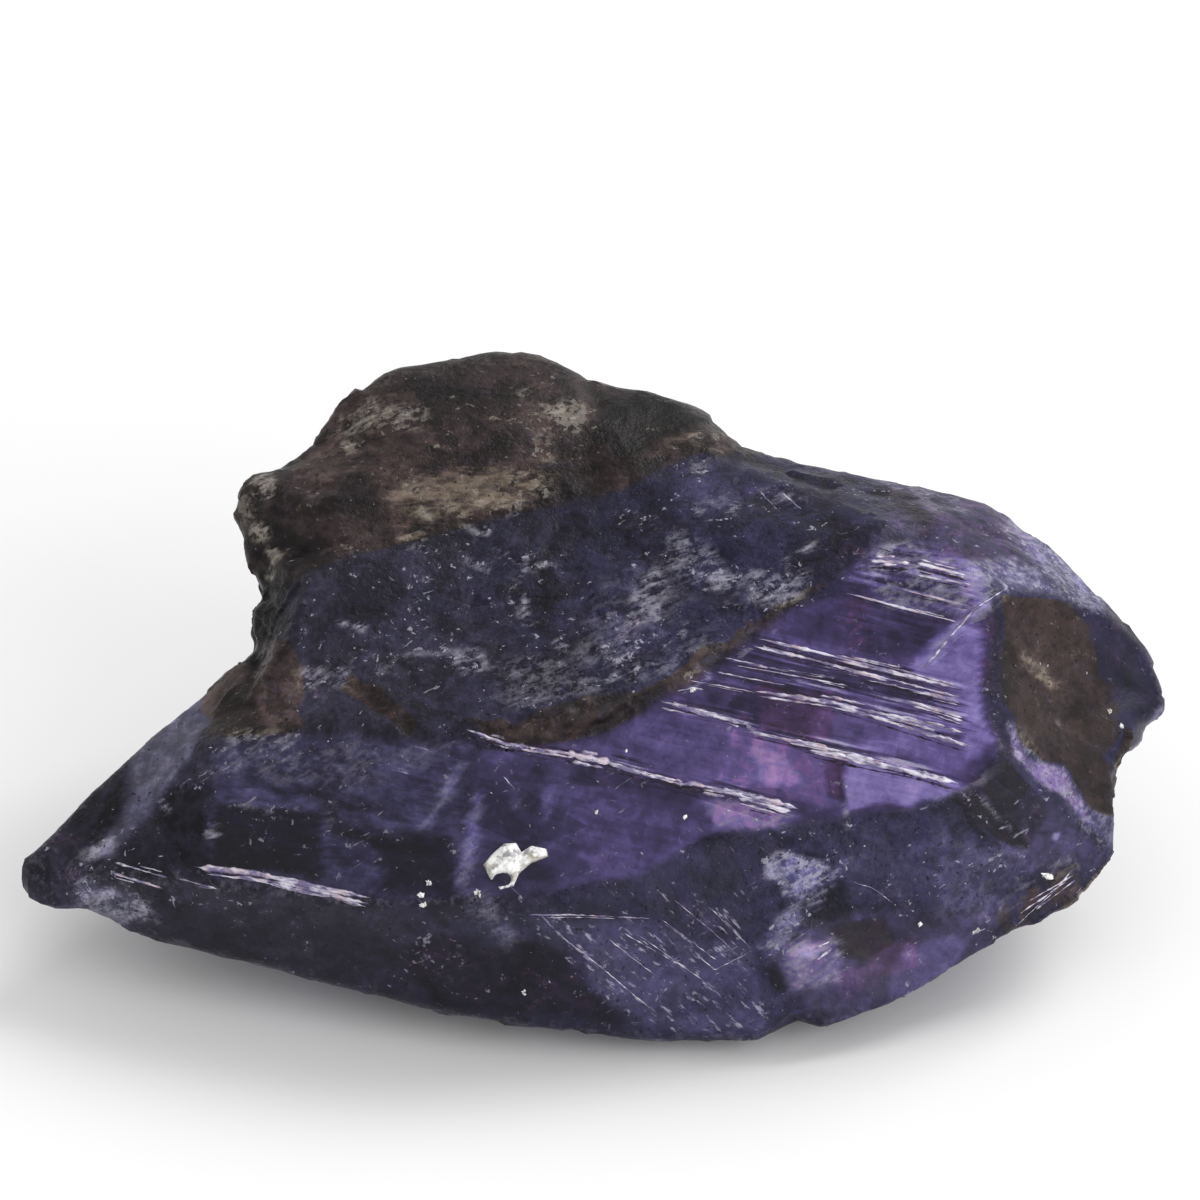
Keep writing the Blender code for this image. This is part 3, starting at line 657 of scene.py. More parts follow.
def front_marks(points):
    """The front's named marks at each point."""
    place = on_front(points)
    warp = [0.10 * rough(points, 0.9, 3, seed) for seed in (11, 21)]
    torn = [0.30 * rough(points, 1.3, 4, seed) for seed in (45, 55)]
    across, up = place[:, 0] + warp[0], place[:, 1] + warp[1]
    mark = {name: np.zeros(len(points)) for name in ("tone", "rose", "haze", "tan", "score", "stria")}

    def add(share, effects):
        for name, strength in effects.items():
            if name == "tone":
                mark[name] += share * strength
            else:
                mark[name] = np.maximum(mark[name], share * strength)

    for outline, edge, effects in AREAS:
        ragged = smooth(edge, 0.1, 0.5)
        share = within(across + ragged * torn[0], up + ragged * torn[1], outline, edge)
        add(share, effects)
    for middle, size, turn, effects in SPOTS:
        add(patch(across + 0.3 * torn[0], up + 0.3 * torn[1], middle, size, turn), effects)
    for route, width, effects in STROKES:
        add(stripe(across, up, route, width), effects)
    for streaks, effects in ((SLATE_STREAKS, SLATE_STREAK), (BROWN_STREAKS, BROWN_STREAK)):
        for route, width in streaks:
            add(stripe(across, up, route, width), effects)
    for outline, edge, strength in STRIPED:
        add(within(across, up, outline, edge), {"stria": strength})

    shoulder = within(across + 0.5 * torn[0], up + 0.5 * torn[1], BROWN_SHOULDER, 0.5)
    cheek = within(across + 0.6 * torn[0], up + 0.6 * torn[1], BROWN_CHEEK, 0.5)
    clay = within(across + 0.7 * torn[0], up + 0.5 * torn[1], CLAY, 0.5)
    thinner = 1 - 0.5 * smooth(across, 1.5, 6.5)
    clay = np.maximum(clay, 0.9 * stripe(across + 0.4 * torn[0], up, CREVICE, 0.40, 0.02) * thinner)
    clay = np.maximum(clay, 0.9 * stripe(across + 0.5 * torn[0], up, CRACK, 0.4, 0.1))
    scoop = within(across, up, SCOOP, 0.2) * (1 - 0.75 * within(across, up, VIOLET_SIDE, 1.2))
    low_edge = within(across + 0.5 * torn[0], up + 0.5 * torn[1], BROWN_EDGE, 0.3)
    end = within(across, up, END_FACET, 0.3)
    mark["brown"] = np.maximum.reduce((shoulder, cheek, clay, scoop, 0.75 * end, 0.5 * low_edge))
    clear = [share * within(across, up, outline, edge) for outline, edge, share in CLEAR_FACES]
    mark["clear"] = np.maximum.reduce(clear) * (1 - mark["brown"])
    mark["gem"] = clear[0]
    mark["calm"] = np.maximum.reduce(
        [share * within(across, up, outline, edge) for outline, edge, share in CALM_FACES]
    )
    mark["violet"] = smooth(across, -9.0, 5.0)
    return mark


def back_marks(points):
    """The same marks for the sides, back and underside: brown skin high up on the left and in blotches,
    clear violet windows with growth lines, and slate with frosted patches between."""
    far = rough(points * (1, 1, 1.4), 5.0, 4, 31)
    near = rough(points, 1.6, 4, 41)
    brown = smooth(points[:, 2] + 1.2 * far, 6.9, 7.9) * (1 - smooth(points[:, 0] + far, 4.0, 6.0))
    brown = np.maximum(brown, smooth(far, 0.55, 0.7))
    clear = smooth(-far, 0.05, 0.3) * 0.85 * (1 - brown)
    return {
        "brown": brown,
        "clear": clear,
        "gem": clear,
        "calm": 0 * far,
        "violet": 0.5 + 0.5 * far,
        "tone": 0.18 * near * (1 - clear) + 0.14 * clear + 0.10 * far,
        "rose": 0.6 * smooth(rough(points, 3.0, 3, 61), 0.35, 0.8) * clear,
        "haze": 0.75 * smooth(near, 0.35, 0.9),
        "tan": 0.6 * brown * smooth(rough(points, 2.2, 3, 51), 0.0, 0.8),
        "score": 0 * far,
        "stria": 0.7 * clear * smooth(rough(points, 2.5, 3, 71), -0.1, 0.4),
    }


def crystal_marks(points, normals):
    """Every mark of the skin at each point: the front's where the skin faces the front, and the back's
    elsewhere."""
    facing = smooth(normals @ OUT, -0.05, 0.22)
    front, back = front_marks(points), back_marks(points)
    return {name: front[name] * facing + back[name] * (1 - facing) for name in front}


def crystal_relief(points, normals, mark, square):
    """How far the skin stands out from its flat faces, in millimetres: lumps, chips and fibres on the brown
    skin, low chips on the slate, growth steps on the clear faces, and the ledges and cracks of the front.
    square is 0 where the skin is too steep for the grid to carry lumps, and 1 elsewhere."""
    place = on_front(points)
    across, up = place[:, 0], place[:, 1]
    facing = smooth(normals @ OUT, 0.0, 0.3)
    fibres = rough(place * (0.35, 2.6, 0.35), 1.0, 3, 61)
    lumps = rough(points, 1.5, 4, 71)
    pits = -smooth(rough(points, 0.55, 2, 81), 0.45, 1.0)
    coarse, _ = chips(points + 0.15 * lumps[:, None], 1.5, 201)
    small, tone = chips(points + 0.08 * lumps[:, None], 0.62, 211)
    still = 1 - 0.9 * mark["calm"]
    slate = (1 - mark["brown"]) * (1 - mark["clear"])
    kinds = np.array((lumps, fibres, pits, coarse, small))
    relief = still * (mark["brown"] * (BROWN_RELIEF @ kinds) + slate * (SLATE_RELIEF @ kinds))
    relief = relief * square + SKIN_LIFT
    turned = 1 - smooth(normals @ OUT, 0.4, 0.8)
    for middle, size, fuller in FULLER:
        relief += fuller * patch(across, up, middle, size) * turned
    relief += mark["clear"] * 0.012 * lumps
    relief += (0.004 + 0.030 * mark["stria"]) * growth_steps(across, up, 91) * mark["gem"]
    for route in LEDGES:
        away, along = distance_to_line(across, up, route)
        line_up = np.interp(across, *np.array(route).T)
        below = smooth(line_up - up, -0.05, 0.08)
        ends = smooth(along, 0.0, 0.08) * (1 - smooth(along, 0.92, 1.0))
        relief += facing * LEDGE_STEP * below * ends * np.exp(-away / LEDGE_REACH)
    ragged = 0.16 * rough(points, 0.6, 3, 95)
    relief -= facing * CREVICE_DEPTH * stripe(across + ragged, up + ragged, CREVICE, 0.34, 0.05)
    relief -= facing * CRACK_DEPTH * stripe(across + ragged, up - ragged, CRACK, 0.3, 0.1)
    relief += facing * RIDGE_HEIGHT * stripe(across, up, RIDGE, 0.22, 0.1)
    return relief, tone


def bent_back(points):
    """The points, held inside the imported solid's box: what comes within the soft edge of a side is brought
    back so that it nears that side ever more slowly. The underside is cut flat instead."""
    low, high = (np.array(corner) / MM for corner in CAD_BOX)
    over = np.maximum(points - (high - SOFT_EDGE), 0)
    under = np.maximum(low + SOFT_EDGE - points, 0)
    under[:, 2] = 0
    nearer = (1 - np.exp(-over / SOFT_EDGE)) - (1 - np.exp(-under / SOFT_EDGE))
    points = points + (SOFT_EDGE * nearer - over + under)
    points[:, 2] = np.maximum(points[:, 2], low[2])
    return points


def crystal_skin():
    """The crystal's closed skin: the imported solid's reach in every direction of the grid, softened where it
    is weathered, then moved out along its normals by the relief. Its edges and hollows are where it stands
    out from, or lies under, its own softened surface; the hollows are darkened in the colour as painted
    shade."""
    directions, axis = crystal_directions()
    shape = directions.shape
    triangles = cad_triangles("tanzanite_crystal")
    crisp = reach(directions.reshape(-1, 3), triangles).reshape(shape[:2])
    crisp = softened(crisp, CRISP_ROUNDS)
    points = HEART + directions * crisp[..., None]
    place = on_front(points.reshape(-1, 3))
    hollow = patch(place[:, 0], place[:, 1], *HOLLOW).reshape(shape[:2])
    crisp = crisp + hollow * (softened(crisp, HOLLOW_ROUNDS) - crisp)
    worn = softened(crisp, WORN_ROUNDS)
    points = HEART + directions * crisp[..., None]
    normals = grid_normals(points)
    mark = crystal_marks(points.reshape(-1, 3), normals.reshape(-1, 3))
    wear = 0.7 * np.maximum(mark["brown"], mark["calm"]).reshape(shape[:2])
    lift = BROWN_LIFT * (mark["brown"] * (1 - mark["calm"])).reshape(shape[:2])
    points = HEART + directions * (crisp + wear * (worn - crisp) + lift)[..., None]
    normals = grid_normals(points)
    square = smooth((normals * directions).sum(axis=2).ravel(), 0.45, 0.85)
    relief, mark["facet"] = crystal_relief(points.reshape(-1, 3), normals.reshape(-1, 3), mark, square)
    points = points + normals * relief.reshape(shape[:2])[..., None]
    ends = [HEART + sign * axis * reach(sign * axis[None], triangles)[0] for sign in (1, -1)]
    standing = np.linalg.norm(points - HEART, axis=2)
    standing = (standing - softened(standing, EDGE_ROUNDS)).ravel()
    # edge marks where the skin stands out; the finish paints these edges paler, partly wear and partly a
    # painted highlight.
    mark["edge"] = smooth(standing, 0.02, 0.10)
    # hollow marks recesses, which the finish darkens as painted shade.
    mark["hollow"] = smooth(-standing, 0.012, 0.07)
    points = bent_back(np.concatenate((points.reshape(-1, 3), ends)))
    mark = {name: np.concatenate((value, value[[0, -1]])) for name, value in mark.items()}
    return points, mark


def closed_grid_faces(rings, lines):
    """Quads between the rings, and triangles from the first and last ring to the two end points, which come
    last."""
    ring, line = np.meshgrid(np.arange(rings - 1), np.arange(lines), indexing="ij")
    following = (line + 1) % lines
    a, b = ring * lines + line, ring * lines + following
    quads = np.stack((a, a + lines, b + lines, b), -1).reshape(-1, 4)
    one = np.arange(lines)
    two = (one + 1) % lines
    last = (rings - 1) * lines
    first_end = np.stack((np.full(lines, rings * lines), one, two), -1)
    last_end = np.stack((np.full(lines, rings * lines + 1), last + two, last + one), -1)
    return quads, np.concatenate((first_end, last_end))


def piece(name, points, faces, material, slot, marks_on=None, smooth_faces=True):
    """A mesh piece from points in millimetres and arrays of faces, which rides on the crystal's body."""
    mesh = bpy.data.meshes.new(name)
    corners = np.concatenate([group.ravel() for group in faces])
    sizes = np.concatenate([np.full(len(group), group.shape[1]) for group in faces])
    mesh.vertices.add(len(points))
    mesh.vertices.foreach_set("co", (points * MM).astype(np.float32).ravel())
    mesh.loops.add(len(corners))
    mesh.loops.foreach_set("vertex_index", corners.astype(np.int32))
    mesh.polygons.add(len(sizes))
    starts = np.concatenate(([0], np.cumsum(sizes)[:-1]))
    mesh.polygons.foreach_set("loop_start", starts.astype(np.int32))
    mesh.polygons.foreach_set("use_smooth", np.full(len(sizes), smooth_faces))
    mesh.update(calc_edges=True)
    mesh.validate()
    for mark, values in (marks_on or {}).items():
        layer = mesh.attributes.new(mark, "FLOAT", "POINT")
        layer.data.foreach_set("value", values.astype(np.float32))
    mesh.materials.append(material)
    obj = bpy.data.objects.new(name, mesh)
    bpy.context.scene.collection.objects.link(obj)
    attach(obj, "root")
    return obj


class Value:
    """A shader socket that takes part in sums: each operator adds a Math node."""

    def __init__(self, material, socket):
        self.material = material
        self.socket = socket

    def math(self, operation, *others, clamp=False):
        node = self.material.node("ShaderNodeMath", {"operation": operation, "use_clamp": clamp})
        for slot, value in zip(node.inputs, (self, *others)):
            self.material.feed(slot, value)
        return Value(self.material, node.outputs[0])

    def __add__(self, other):
        return self.math("ADD", other)

    __radd__ = __add__

    def __mul__(self, other):
        return self.math("MULTIPLY", other)

    __rmul__ = __mul__

    def __sub__(self, other):
        return self.math("SUBTRACT", other)

    def __rsub__(self, other):
        return (self * -1.0) + other

    def clipped_both(self):
        """Kept between -0.5 and 0.5."""
        return self.math("MAXIMUM", -0.5).math("MINIMUM", 0.5)

    def clipped(self):
        return self.math("ADD", 0.0, clamp=True)

    def at_least(self, other):
        return self.math("MAXIMUM", other)

    def rise(self, low, high):
        """0 below low, 1 above high, smooth between."""
        node = self.material.node(
            "ShaderNodeMapRange",
            {"interpolation_type": "SMOOTHSTEP"},
            {"Value": self, "From Min": low, "From Max": high},
        )
        return Value(self.material, node.outputs["Result"])


def set_stops(elements, stops):
    """Gives a new ramp its stops: each is its place, then red, green and blue."""
    for number, (place, *rgb) in enumerate(stops):
        stop = elements[number] if number < len(elements) else elements.new(place)
        stop.position = place
        stop.color = (*rgb, 1.0)


class Finish:
    """A material, and the nodes that make it."""

    def __init__(self, name):
        self.data = bpy.data.materials.new(name)
        self.data.use_nodes = True
        self.tree = self.data.node_tree
        self.tree.nodes.clear()
        self.output = self.node("ShaderNodeOutputMaterial")
        self.place = self.node("ShaderNodeTexCoord").outputs["Object"]

    def feed(self, socket, value):
        if isinstance(value, Value):
            value = value.socket
        if isinstance(value, bpy.types.NodeSocket):
            self.tree.links.new(value, socket)
        else:
            socket.default_value = value

    def node(self, kind, settings=None, values=None):
        """Adds a node: its settings first, such as a ramp's stops, then its sockets' values or links."""
        node = self.tree.nodes.new(kind)
        for name, value in (settings or {}).items():
            if name == "stops":
                set_stops(node.color_ramp.elements, value)
            else:
                setattr(node, name, value)
        for name, value in (values or {}).items():
            self.feed(node.inputs[name], value)
        return node

    def mark(self, name):
        node = self.node("ShaderNodeAttribute", {"attribute_name": name})
        return Value(self, node.outputs["Fac"])

    def scaled_place(self, per_mm, turn=(0, 0, 0)):
        """Object coordinates, turned, with that many pattern cells to the millimetre along each axis."""
        turned = self.node(
            "ShaderNodeVectorRotate",
            {"rotation_type": "EULER_XYZ"},
            {"Vector": self.place, "Rotation": turn},
        )
        scaled = self.node(
            "ShaderNodeVectorMath",
            {"operation": "MULTIPLY"},
            {0: turned.outputs[0], 1: tuple(value / MM for value in per_mm)},
        )
        return scaled.outputs[0]

    def noise(self, per_mm, detail=3.0, roughness=0.55, distortion=0.0, turn=(0, 0, 0)):
        if not isinstance(per_mm, tuple):
            per_mm = (per_mm,) * 3
        node = self.node(
            "ShaderNodeTexNoise",
            None,
            {
                "Vector": self.scaled_place(per_mm, turn),
                "Scale": 1.0,
                "Detail": detail,
                "Roughness": roughness,
                "Distortion": distortion,
            },
        )
        return Value(self, node.outputs["Fac"])

    def ramp(self, factor, stops):
        """A colour looked up on a ramp."""
        return self.node("ShaderNodeValToRGB", {"stops": stops}, {"Fac": factor}).outputs["Color"]

    def shards(self, per_mm, turn):
        """A random value for each straight-sided cell of a pattern that many cells to the millimetre."""
        values = {"Vector": self.scaled_place(per_mm, turn), "Scale": 1.0, "Randomness": 1.0}
        cells = self.node("ShaderNodeTexVoronoi", {"feature": "F1"}, values)
        split = self.node("ShaderNodeSeparateColor", None, {"Color": cells.outputs["Color"]})
        return Value(self, split.outputs[0])

    def blend(self, factor, first, second, way="MIX"):
        """first at 0 and second at 1. Both are colours."""
        settings = {"data_type": "RGBA", "blend_type": way}
        return self.node("ShaderNodeMix", settings, {0: factor, 6: first, 7: second}).outputs[2]

    def principled(self, **values):
        named = {name.replace("_", " "): value for name, value in values.items()}
        return self.node("ShaderNodeBsdfPrincipled", None, named)

    def shown(self, shader):
        """The material, with that shader on its surface."""
        self.feed(self.output.inputs["Surface"], shader.outputs[0])
        return self.data

    def bump(self, height, strength, distance_mm):
        node = self.node(
            "ShaderNodeBump",
            None,
            {"Height": height, "Strength": strength, "Distance": distance_mm * MM},
        )
        return node.outputs[0]


# The front leans back, so its own across, up and out are the pattern axes after this turn. The growth lines
# then fall to the right by 14 degrees, and the scored lines of the lower face by 44. Torn streaks climb to
# the right by 28.
BACK_TO_FRONT = LEAN - math.radians(90.0)
FRONT_TURN = (BACK_TO_FRONT, 0.0, 0.0)
GROWTH_TURN = (BACK_TO_FRONT, 0.0, math.radians(14.0))
SCORE_TURN = (BACK_TO_FRONT, 0.0, math.radians(44.0))
TORN_TURN = (BACK_TO_FRONT, 0.0, math.radians(-28.0))

MARKS = (
    "brown", "clear", "tone", "rose", "haze", "tan", "stria", "score", "violet", "calm", "gem", "edge",
    "hollow", "facet",
)

# Colours from the darkest to the palest tone of each skin: place on the ramp, then red, green and blue.
SLATE_TONES = (
    (0.0, 0.006, 0.006, 0.009),
    (0.22, 0.016, 0.015, 0.025),
    (0.42, 0.033, 0.031, 0.050),
    (0.62, 0.068, 0.065, 0.100),
    (0.82, 0.19, 0.18, 0.26),
    (1.0, 0.42, 0.41, 0.52),
)
GEM_TONES = (
    (0.0, 0.003, 0.001, 0.012),
    (0.25, 0.017, 0.009, 0.050),
    (0.45, 0.064, 0.042, 0.155),
    (0.65, 0.172, 0.122, 0.39),
    (0.85, 0.38, 0.30, 0.74),
    (1.0, 0.62, 0.56, 0.90),
)
BROWN_TONES = (
    (0.0, 0.005, 0.004, 0.004),
    (0.25, 0.017, 0.013, 0.013),
    (0.45, 0.040, 0.031, 0.030),
    (0.65, 0.088, 0.069, 0.063),
    (0.85, 0.17, 0.14, 0.12),
    (1.0, 0.30, 0.26, 0.22),
)
TAN_COLOUR = (0.19, 0.145, 0.105, 1.0)
# What the slate is multiplied by where it is violet.
VIOLET_CAST = (0.95, 0.91, 1.42, 1.0)
# What the clear crystal is multiplied by where it is pink.
ROSE_CAST = (1.50, 0.95, 0.98, 1.0)
# What the brown is multiplied by where it is reddest.
RUDDY_CAST = (1.16, 0.95, 0.95, 1.0)
# What is added to the slate and to the clear crystal where they are maroon.
MAROON_GLOW = (0.013, 0.004, 0.006, 1.0)
# What the slate is multiplied by where it is maroon.
MAROON_CAST = (1.32, 0.90, 1.08, 1.0)
# What the clear crystal is multiplied by where it is blue.
BLUE_CAST = (0.80, 1.02, 0.90, 1.0)
HAZE_COLOUR = (0.40, 0.39, 0.47, 1.0)
PALE_BROWN = (0.33, 0.30, 0.26, 1.0)
# Pale growth and scored lines, partly their own colour and partly painted glints.
LINE_AND_GLINT_COLOUR = (0.52, 0.49, 0.64, 1.0)
PIT_COLOUR = (0.004, 0.003, 0.005, 1.0)
# Where on its ramp each skin's middle tone lies.
SLATE_MIDDLE = 0.285
BROWN_MIDDLE = 0.308
GEM_MIDDLE = 0.45
GEM_IOR = 1.69
# How strongly the crystal swallows light, for every metre, and the colour that it swallows least of.
GEM_DENSITY = 300.0
GEM_TINT = (0.25, 0.12, 0.62, 1.0)


def crystal_finish():
    """Clear violet crystal under a skin that is slate, brown, dusty or scratched in places. Each skin's
    tone is the painted tone, broken up by noise, looked up on that skin's ramp of colours."""
    finish = Finish("rough_tanzanite")
    mark = {name: finish.mark(name) for name in MARKS}
    # The patterns, each one around 0.
    cloud = finish.noise(0.75, 4.0, 0.55) - 0.5
    mottle = finish.noise(2.6, 4.0, 0.62) - 0.5
    blotch = finish.noise(0.30, 2.0, 0.5) - 0.5
    grain = finish.noise(7.0, 2.0, 0.62) - 0.5
    plates = finish.noise(0.9, 5.0, 0.6, 0.7).rise(0.43, 0.57) - 0.5
    pieces = finish.noise(2.1, 4.0, 0.6, 0.7).rise(0.44, 0.58) - 0.5
    specks = finish.noise(4.2, 3.0, 0.66, 0.5) - 0.5
    fibres = finish.noise((0.6, 4.0, 4.0), 3.0, 0.65, 0.5, FRONT_TURN) - 0.5
    lines = finish.noise((0.35, 6.0, 6.0), 3.0, 0.62, 0.0, GROWTH_TURN) - 0.5
    scores = finish.noise((0.14, 6.5, 6.5), 3.0, 0.66, 0.0, SCORE_TURN) - 0.5
    torn = finish.noise((1.1, 5.0, 5.0), 3.0, 0.65, 0.6, TORN_TURN) - 0.5
    curls = finish.noise(1.5, 2.0, 0.5, 1.6) - 0.5
    shards = finish.shards((0.28, 0.8, 0.8), GROWTH_TURN) - 0.5

    # How light each place is, and each skin's colour from it.
    busy = 1 - mark["calm"] * 0.65
    broken = (plates * 0.13 + pieces * 0.07 + cloud * 0.35 + mottle * 0.35 + grain * 0.30) * busy
    # The tone is darkened in the hollows here: painted shade in the recesses.
    tone = mark["tone"] + broken + blotch * 0.3 + mark["facet"] * 0.045 - mark["hollow"] * 0.16
    slate = finish.ramp(tone + SLATE_MIDDLE, SLATE_TONES)
    violet_mix = (mark["violet"] * 0.9 + plates * 0.3 + cloud * 0.4).clipped()
    slate = finish.blend(violet_mix, slate, finish.blend(1.0, slate, VIOLET_CAST, "MULTIPLY"))
    fibrous = plates * 0.06 + fibres * (mark["tan"] + 0.25) * 0.7
    brown = finish.ramp(tone + fibrous + BROWN_MIDDLE, BROWN_TONES)
    ruddy = (blotch * 1.6 + plates * 0.5 + 0.5).clipped()
    brown = finish.blend(ruddy, brown, finish.blend(1.0, brown, RUDDY_CAST, "MULTIPLY"))
    striped = (lines * (mark["stria"] + 0.12) * 1.9).clipped_both()
    # The clear crystal's painted tones: partly colour zoning, partly painted light shining through it.
    gem_tone = mark["tone"] * 1.3 + shards * 0.17 + pieces * 0.06 + mottle * 0.30 + cloud * 0.45 + striped
    gem_base = finish.ramp(gem_tone + GEM_MIDDLE, GEM_TONES)

    # Pink and maroon, tan, and which skin is brown.
    rose_mix = (mark["rose"] + cloud * 1.6 + pieces * 0.5 + mottle * 1.2 - 0.3).rise(0.0, 0.7) * 0.75
    pits = (finish.noise(8.0, 1.0, 0.5) - 0.5).rise(0.19, 0.22)
    tan_mix = (mark["tan"] * 1.1 + fibres * 1.6 + torn * 1.2 + mottle * 1.4 - 0.50).rise(0.0, 1.0) * 0.85
    brown = finish.blend(tan_mix, brown, TAN_COLOUR)
    brown_mask = (mark["brown"] + mottle * 1.1 - 0.5).rise(-0.14, 0.14)
    slate = finish.blend(rose_mix, slate, finish.blend(1.0, slate, MAROON_CAST, "MULTIPLY"))
    slate = finish.blend(rose_mix * 0.6, slate, MAROON_GLOW, "ADD")
    base = finish.blend(brown_mask, slate, brown)

    # Pale films, flecks, and edges made paler by wear and a painted highlight, then pale lines that are
    # partly painted glints.
    curl = (1 - curls.math("ABSOLUTE") * 40.0).clipped() * 0.3
    curl = curl * (cloud + mottle + mark["haze"] * 0.4).rise(0.1, 0.4)
    film = (mark["haze"] * (torn * 3.4 + mottle * 2.2 + grain * 1.2 + pieces * 0.35 + 0.27)).clipped() * 0.75
    sparse = mark["haze"] * 0.10 + mark["tan"] * 0.05 + cloud * 0.40 + plates * 0.02 - 0.165
    flecks = (specks + sparse).rise(0.0, 0.05) * (0.9 - mark["clear"] * 0.5 - mark["brown"] * 0.4) * busy
    flecks = flecks.at_least((torn + sparse - 0.03).rise(0.0, 0.05) * (0.6 - mark["brown"] * 0.5) * busy)
    haze_mix = film.at_least(flecks * 0.75).at_least(curl * (1 - mark["brown"]) * (1 - mark["clear"]))
    # Standing edges are paler: partly wear, partly a painted highlight.
    edge_wear_and_highlight = (mark["edge"] + grain * 2.0 + mottle * 2.0 - 0.9).rise(0.0, 0.6) * 0.09
    haze_mix = haze_mix.at_least(edge_wear_and_highlight)
    # Pale lines along the growth lines and scores: partly pale crystal, partly painted glints.
    line_and_glint_mix = (mark["stria"] * 0.60 + lines * 2.8 + grain * 0.4 - 0.66).rise(0.0, 0.34) * 0.7
    score_mix = (mark["score"] * 0.7 + scores * 4.5 - 0.80).rise(0.0, 0.7) * 0.5
    line_and_glint_mix = line_and_glint_mix.at_least(score_mix)

    # What lies over both skins.
    base = finish.blend(haze_mix, base, finish.blend(brown_mask, HAZE_COLOUR, PALE_BROWN))
    base = finish.blend(line_and_glint_mix, base, LINE_AND_GLINT_COLOUR)
    base = finish.blend(pits * 0.8, base, PIT_COLOUR)
    gem_base = finish.blend(1 - mark["violet"], gem_base, finish.blend(1.0, gem_base, BLUE_CAST, "MULTIPLY"))
    gem_base = finish.blend(rose_mix, gem_base, finish.blend(1.0, gem_base, ROSE_CAST, "MULTIPLY"))
    gem_base = finish.blend(rose_mix, gem_base, MAROON_GLOW, "ADD")
    gem_base = finish.blend(haze_mix, gem_base, HAZE_COLOUR)
    gem_base = finish.blend(line_and_glint_mix, gem_base, LINE_AND_GLINT_COLOUR)

    # Clear crystal, the skin over it, and how much of each shows.
    relief = (grain * 0.6 + mottle * 0.9) * busy
    gem = finish.principled(
        Base_Color=gem_base,
        Roughness=(grain * 0.25 + line_and_glint_mix * 0.25 + (1 - mark["gem"]) * 0.3 + 0.10).clipped(),
        IOR=GEM_IOR,
        Specular_IOR_Level=0.1,
        Transmission_Weight=0.45,
        Normal=finish.bump(lines * (mark["stria"] + 0.15), 0.35, 0.08),
    )
    skin = finish.principled(
        Base_Color=base,
        Roughness=(grain * 0.5 + 0.42).clipped(),
        IOR=1.45,
        Specular_IOR_Level=0.2,
        Normal=finish.bump(relief, 0.5, 0.12),
    )
    clear = (mark["clear"] + mottle * 0.5 * (1 - mark["clear"])).clipped()
    skin_share = (1 - clear * 0.92 + haze_mix * 0.5).clipped()
    shaders = {0: skin_share, 1: gem.outputs[0], 2: skin.outputs[0]}
    inside = finish.node("ShaderNodeVolumeAbsorption", None, {"Color": GEM_TINT, "Density": GEM_DENSITY})
    finish.feed(finish.output.inputs["Volume"], inside.outputs[0])
    return finish.shown(finish.node("ShaderNodeMixShader", None, shaders))


def crumb_finish():
    finish = Finish("white_crumb")
    lumps = finish.noise(4.0, 4.0, 0.65)
    spots = finish.noise(2.6, 4.0, 0.6)
    base = finish.blend(lumps.rise(0.36, 0.52), (0.30, 0.29, 0.31, 1.0), (0.93, 0.93, 0.92, 1.0))
    base = finish.blend(spots.rise(0.50, 0.60) * 0.7, base, (0.42, 0.38, 0.30, 1.0))
    shader = finish.principled(
        Base_Color=base,
        Roughness=(lumps * 0.3 + 0.35).clipped(),
        Normal=finish.bump(lumps, 0.6, 0.15),
    )
    return finish.shown(shader)


def worn_and_glint_finish():
    """Worn crests and scratches: crushed crystal, pale lilac and shiny; on the crests the pale colour is
    partly a painted glint.
    """
    finish = Finish("worn_and_glint_crests")
    grain = finish.noise((2.0, 6.0, 6.0), 3.0, 0.6, 0.0, GROWTH_TURN)
    patches = finish.noise(2.2, 3.0, 0.6)
    base = finish.blend(grain.rise(0.42, 0.62), (0.16, 0.13, 0.26, 1.0), (0.70, 0.67, 0.78, 1.0))
    base = finish.blend(patches.rise(0.50, 0.62) * 0.5, base, (0.62, 0.46, 0.50, 1.0))
    shader = finish.principled(Base_Color=base, Roughness=(grain * 0.4 + 0.15).clipped(), IOR=GEM_IOR)
    return finish.shown(shader)


def veil_finish():
    """Cracks sealed inside the clear crystal: thin pale sheets, partly see-through."""
    finish = Finish("inner_veils")
    grain = finish.noise(2.5, 4.0, 0.6)
    base = finish.blend(grain.rise(0.40, 0.60), (0.16, 0.14, 0.30, 1.0), (0.66, 0.64, 0.82, 1.0))
    shader = finish.principled(Base_Color=base, Roughness=0.3, Transmission_Weight=0.3, IOR=1.3)
    return finish.shown(shader)


# Dark colour for the painted shadows under the crests.
def crest_shadow_finish():
    finish = Finish("painted_crest_shadows")
    grain = finish.noise(6.0, 2.0, 0.5)
    base = finish.blend(grain.rise(0.35, 0.65), (0.010, 0.007, 0.018, 1.0), (0.050, 0.030, 0.070, 1.0))
    shader = finish.principled(Base_Color=base, Roughness=0.5, Specular_IOR_Level=0.2)
    return finish.shown(shader)


def dust_finish():
    finish = Finish("pale_dust")
    grain = finish.noise(5.0, 2.0, 0.5)
    base = finish.blend(grain.rise(0.35, 0.65), (0.16, 0.15, 0.21, 1.0), (0.44, 0.43, 0.50, 1.0))
    shader = finish.principled(Base_Color=base, Roughness=0.6, Specular_IOR_Level=0.2)
    return finish.shown(shader)


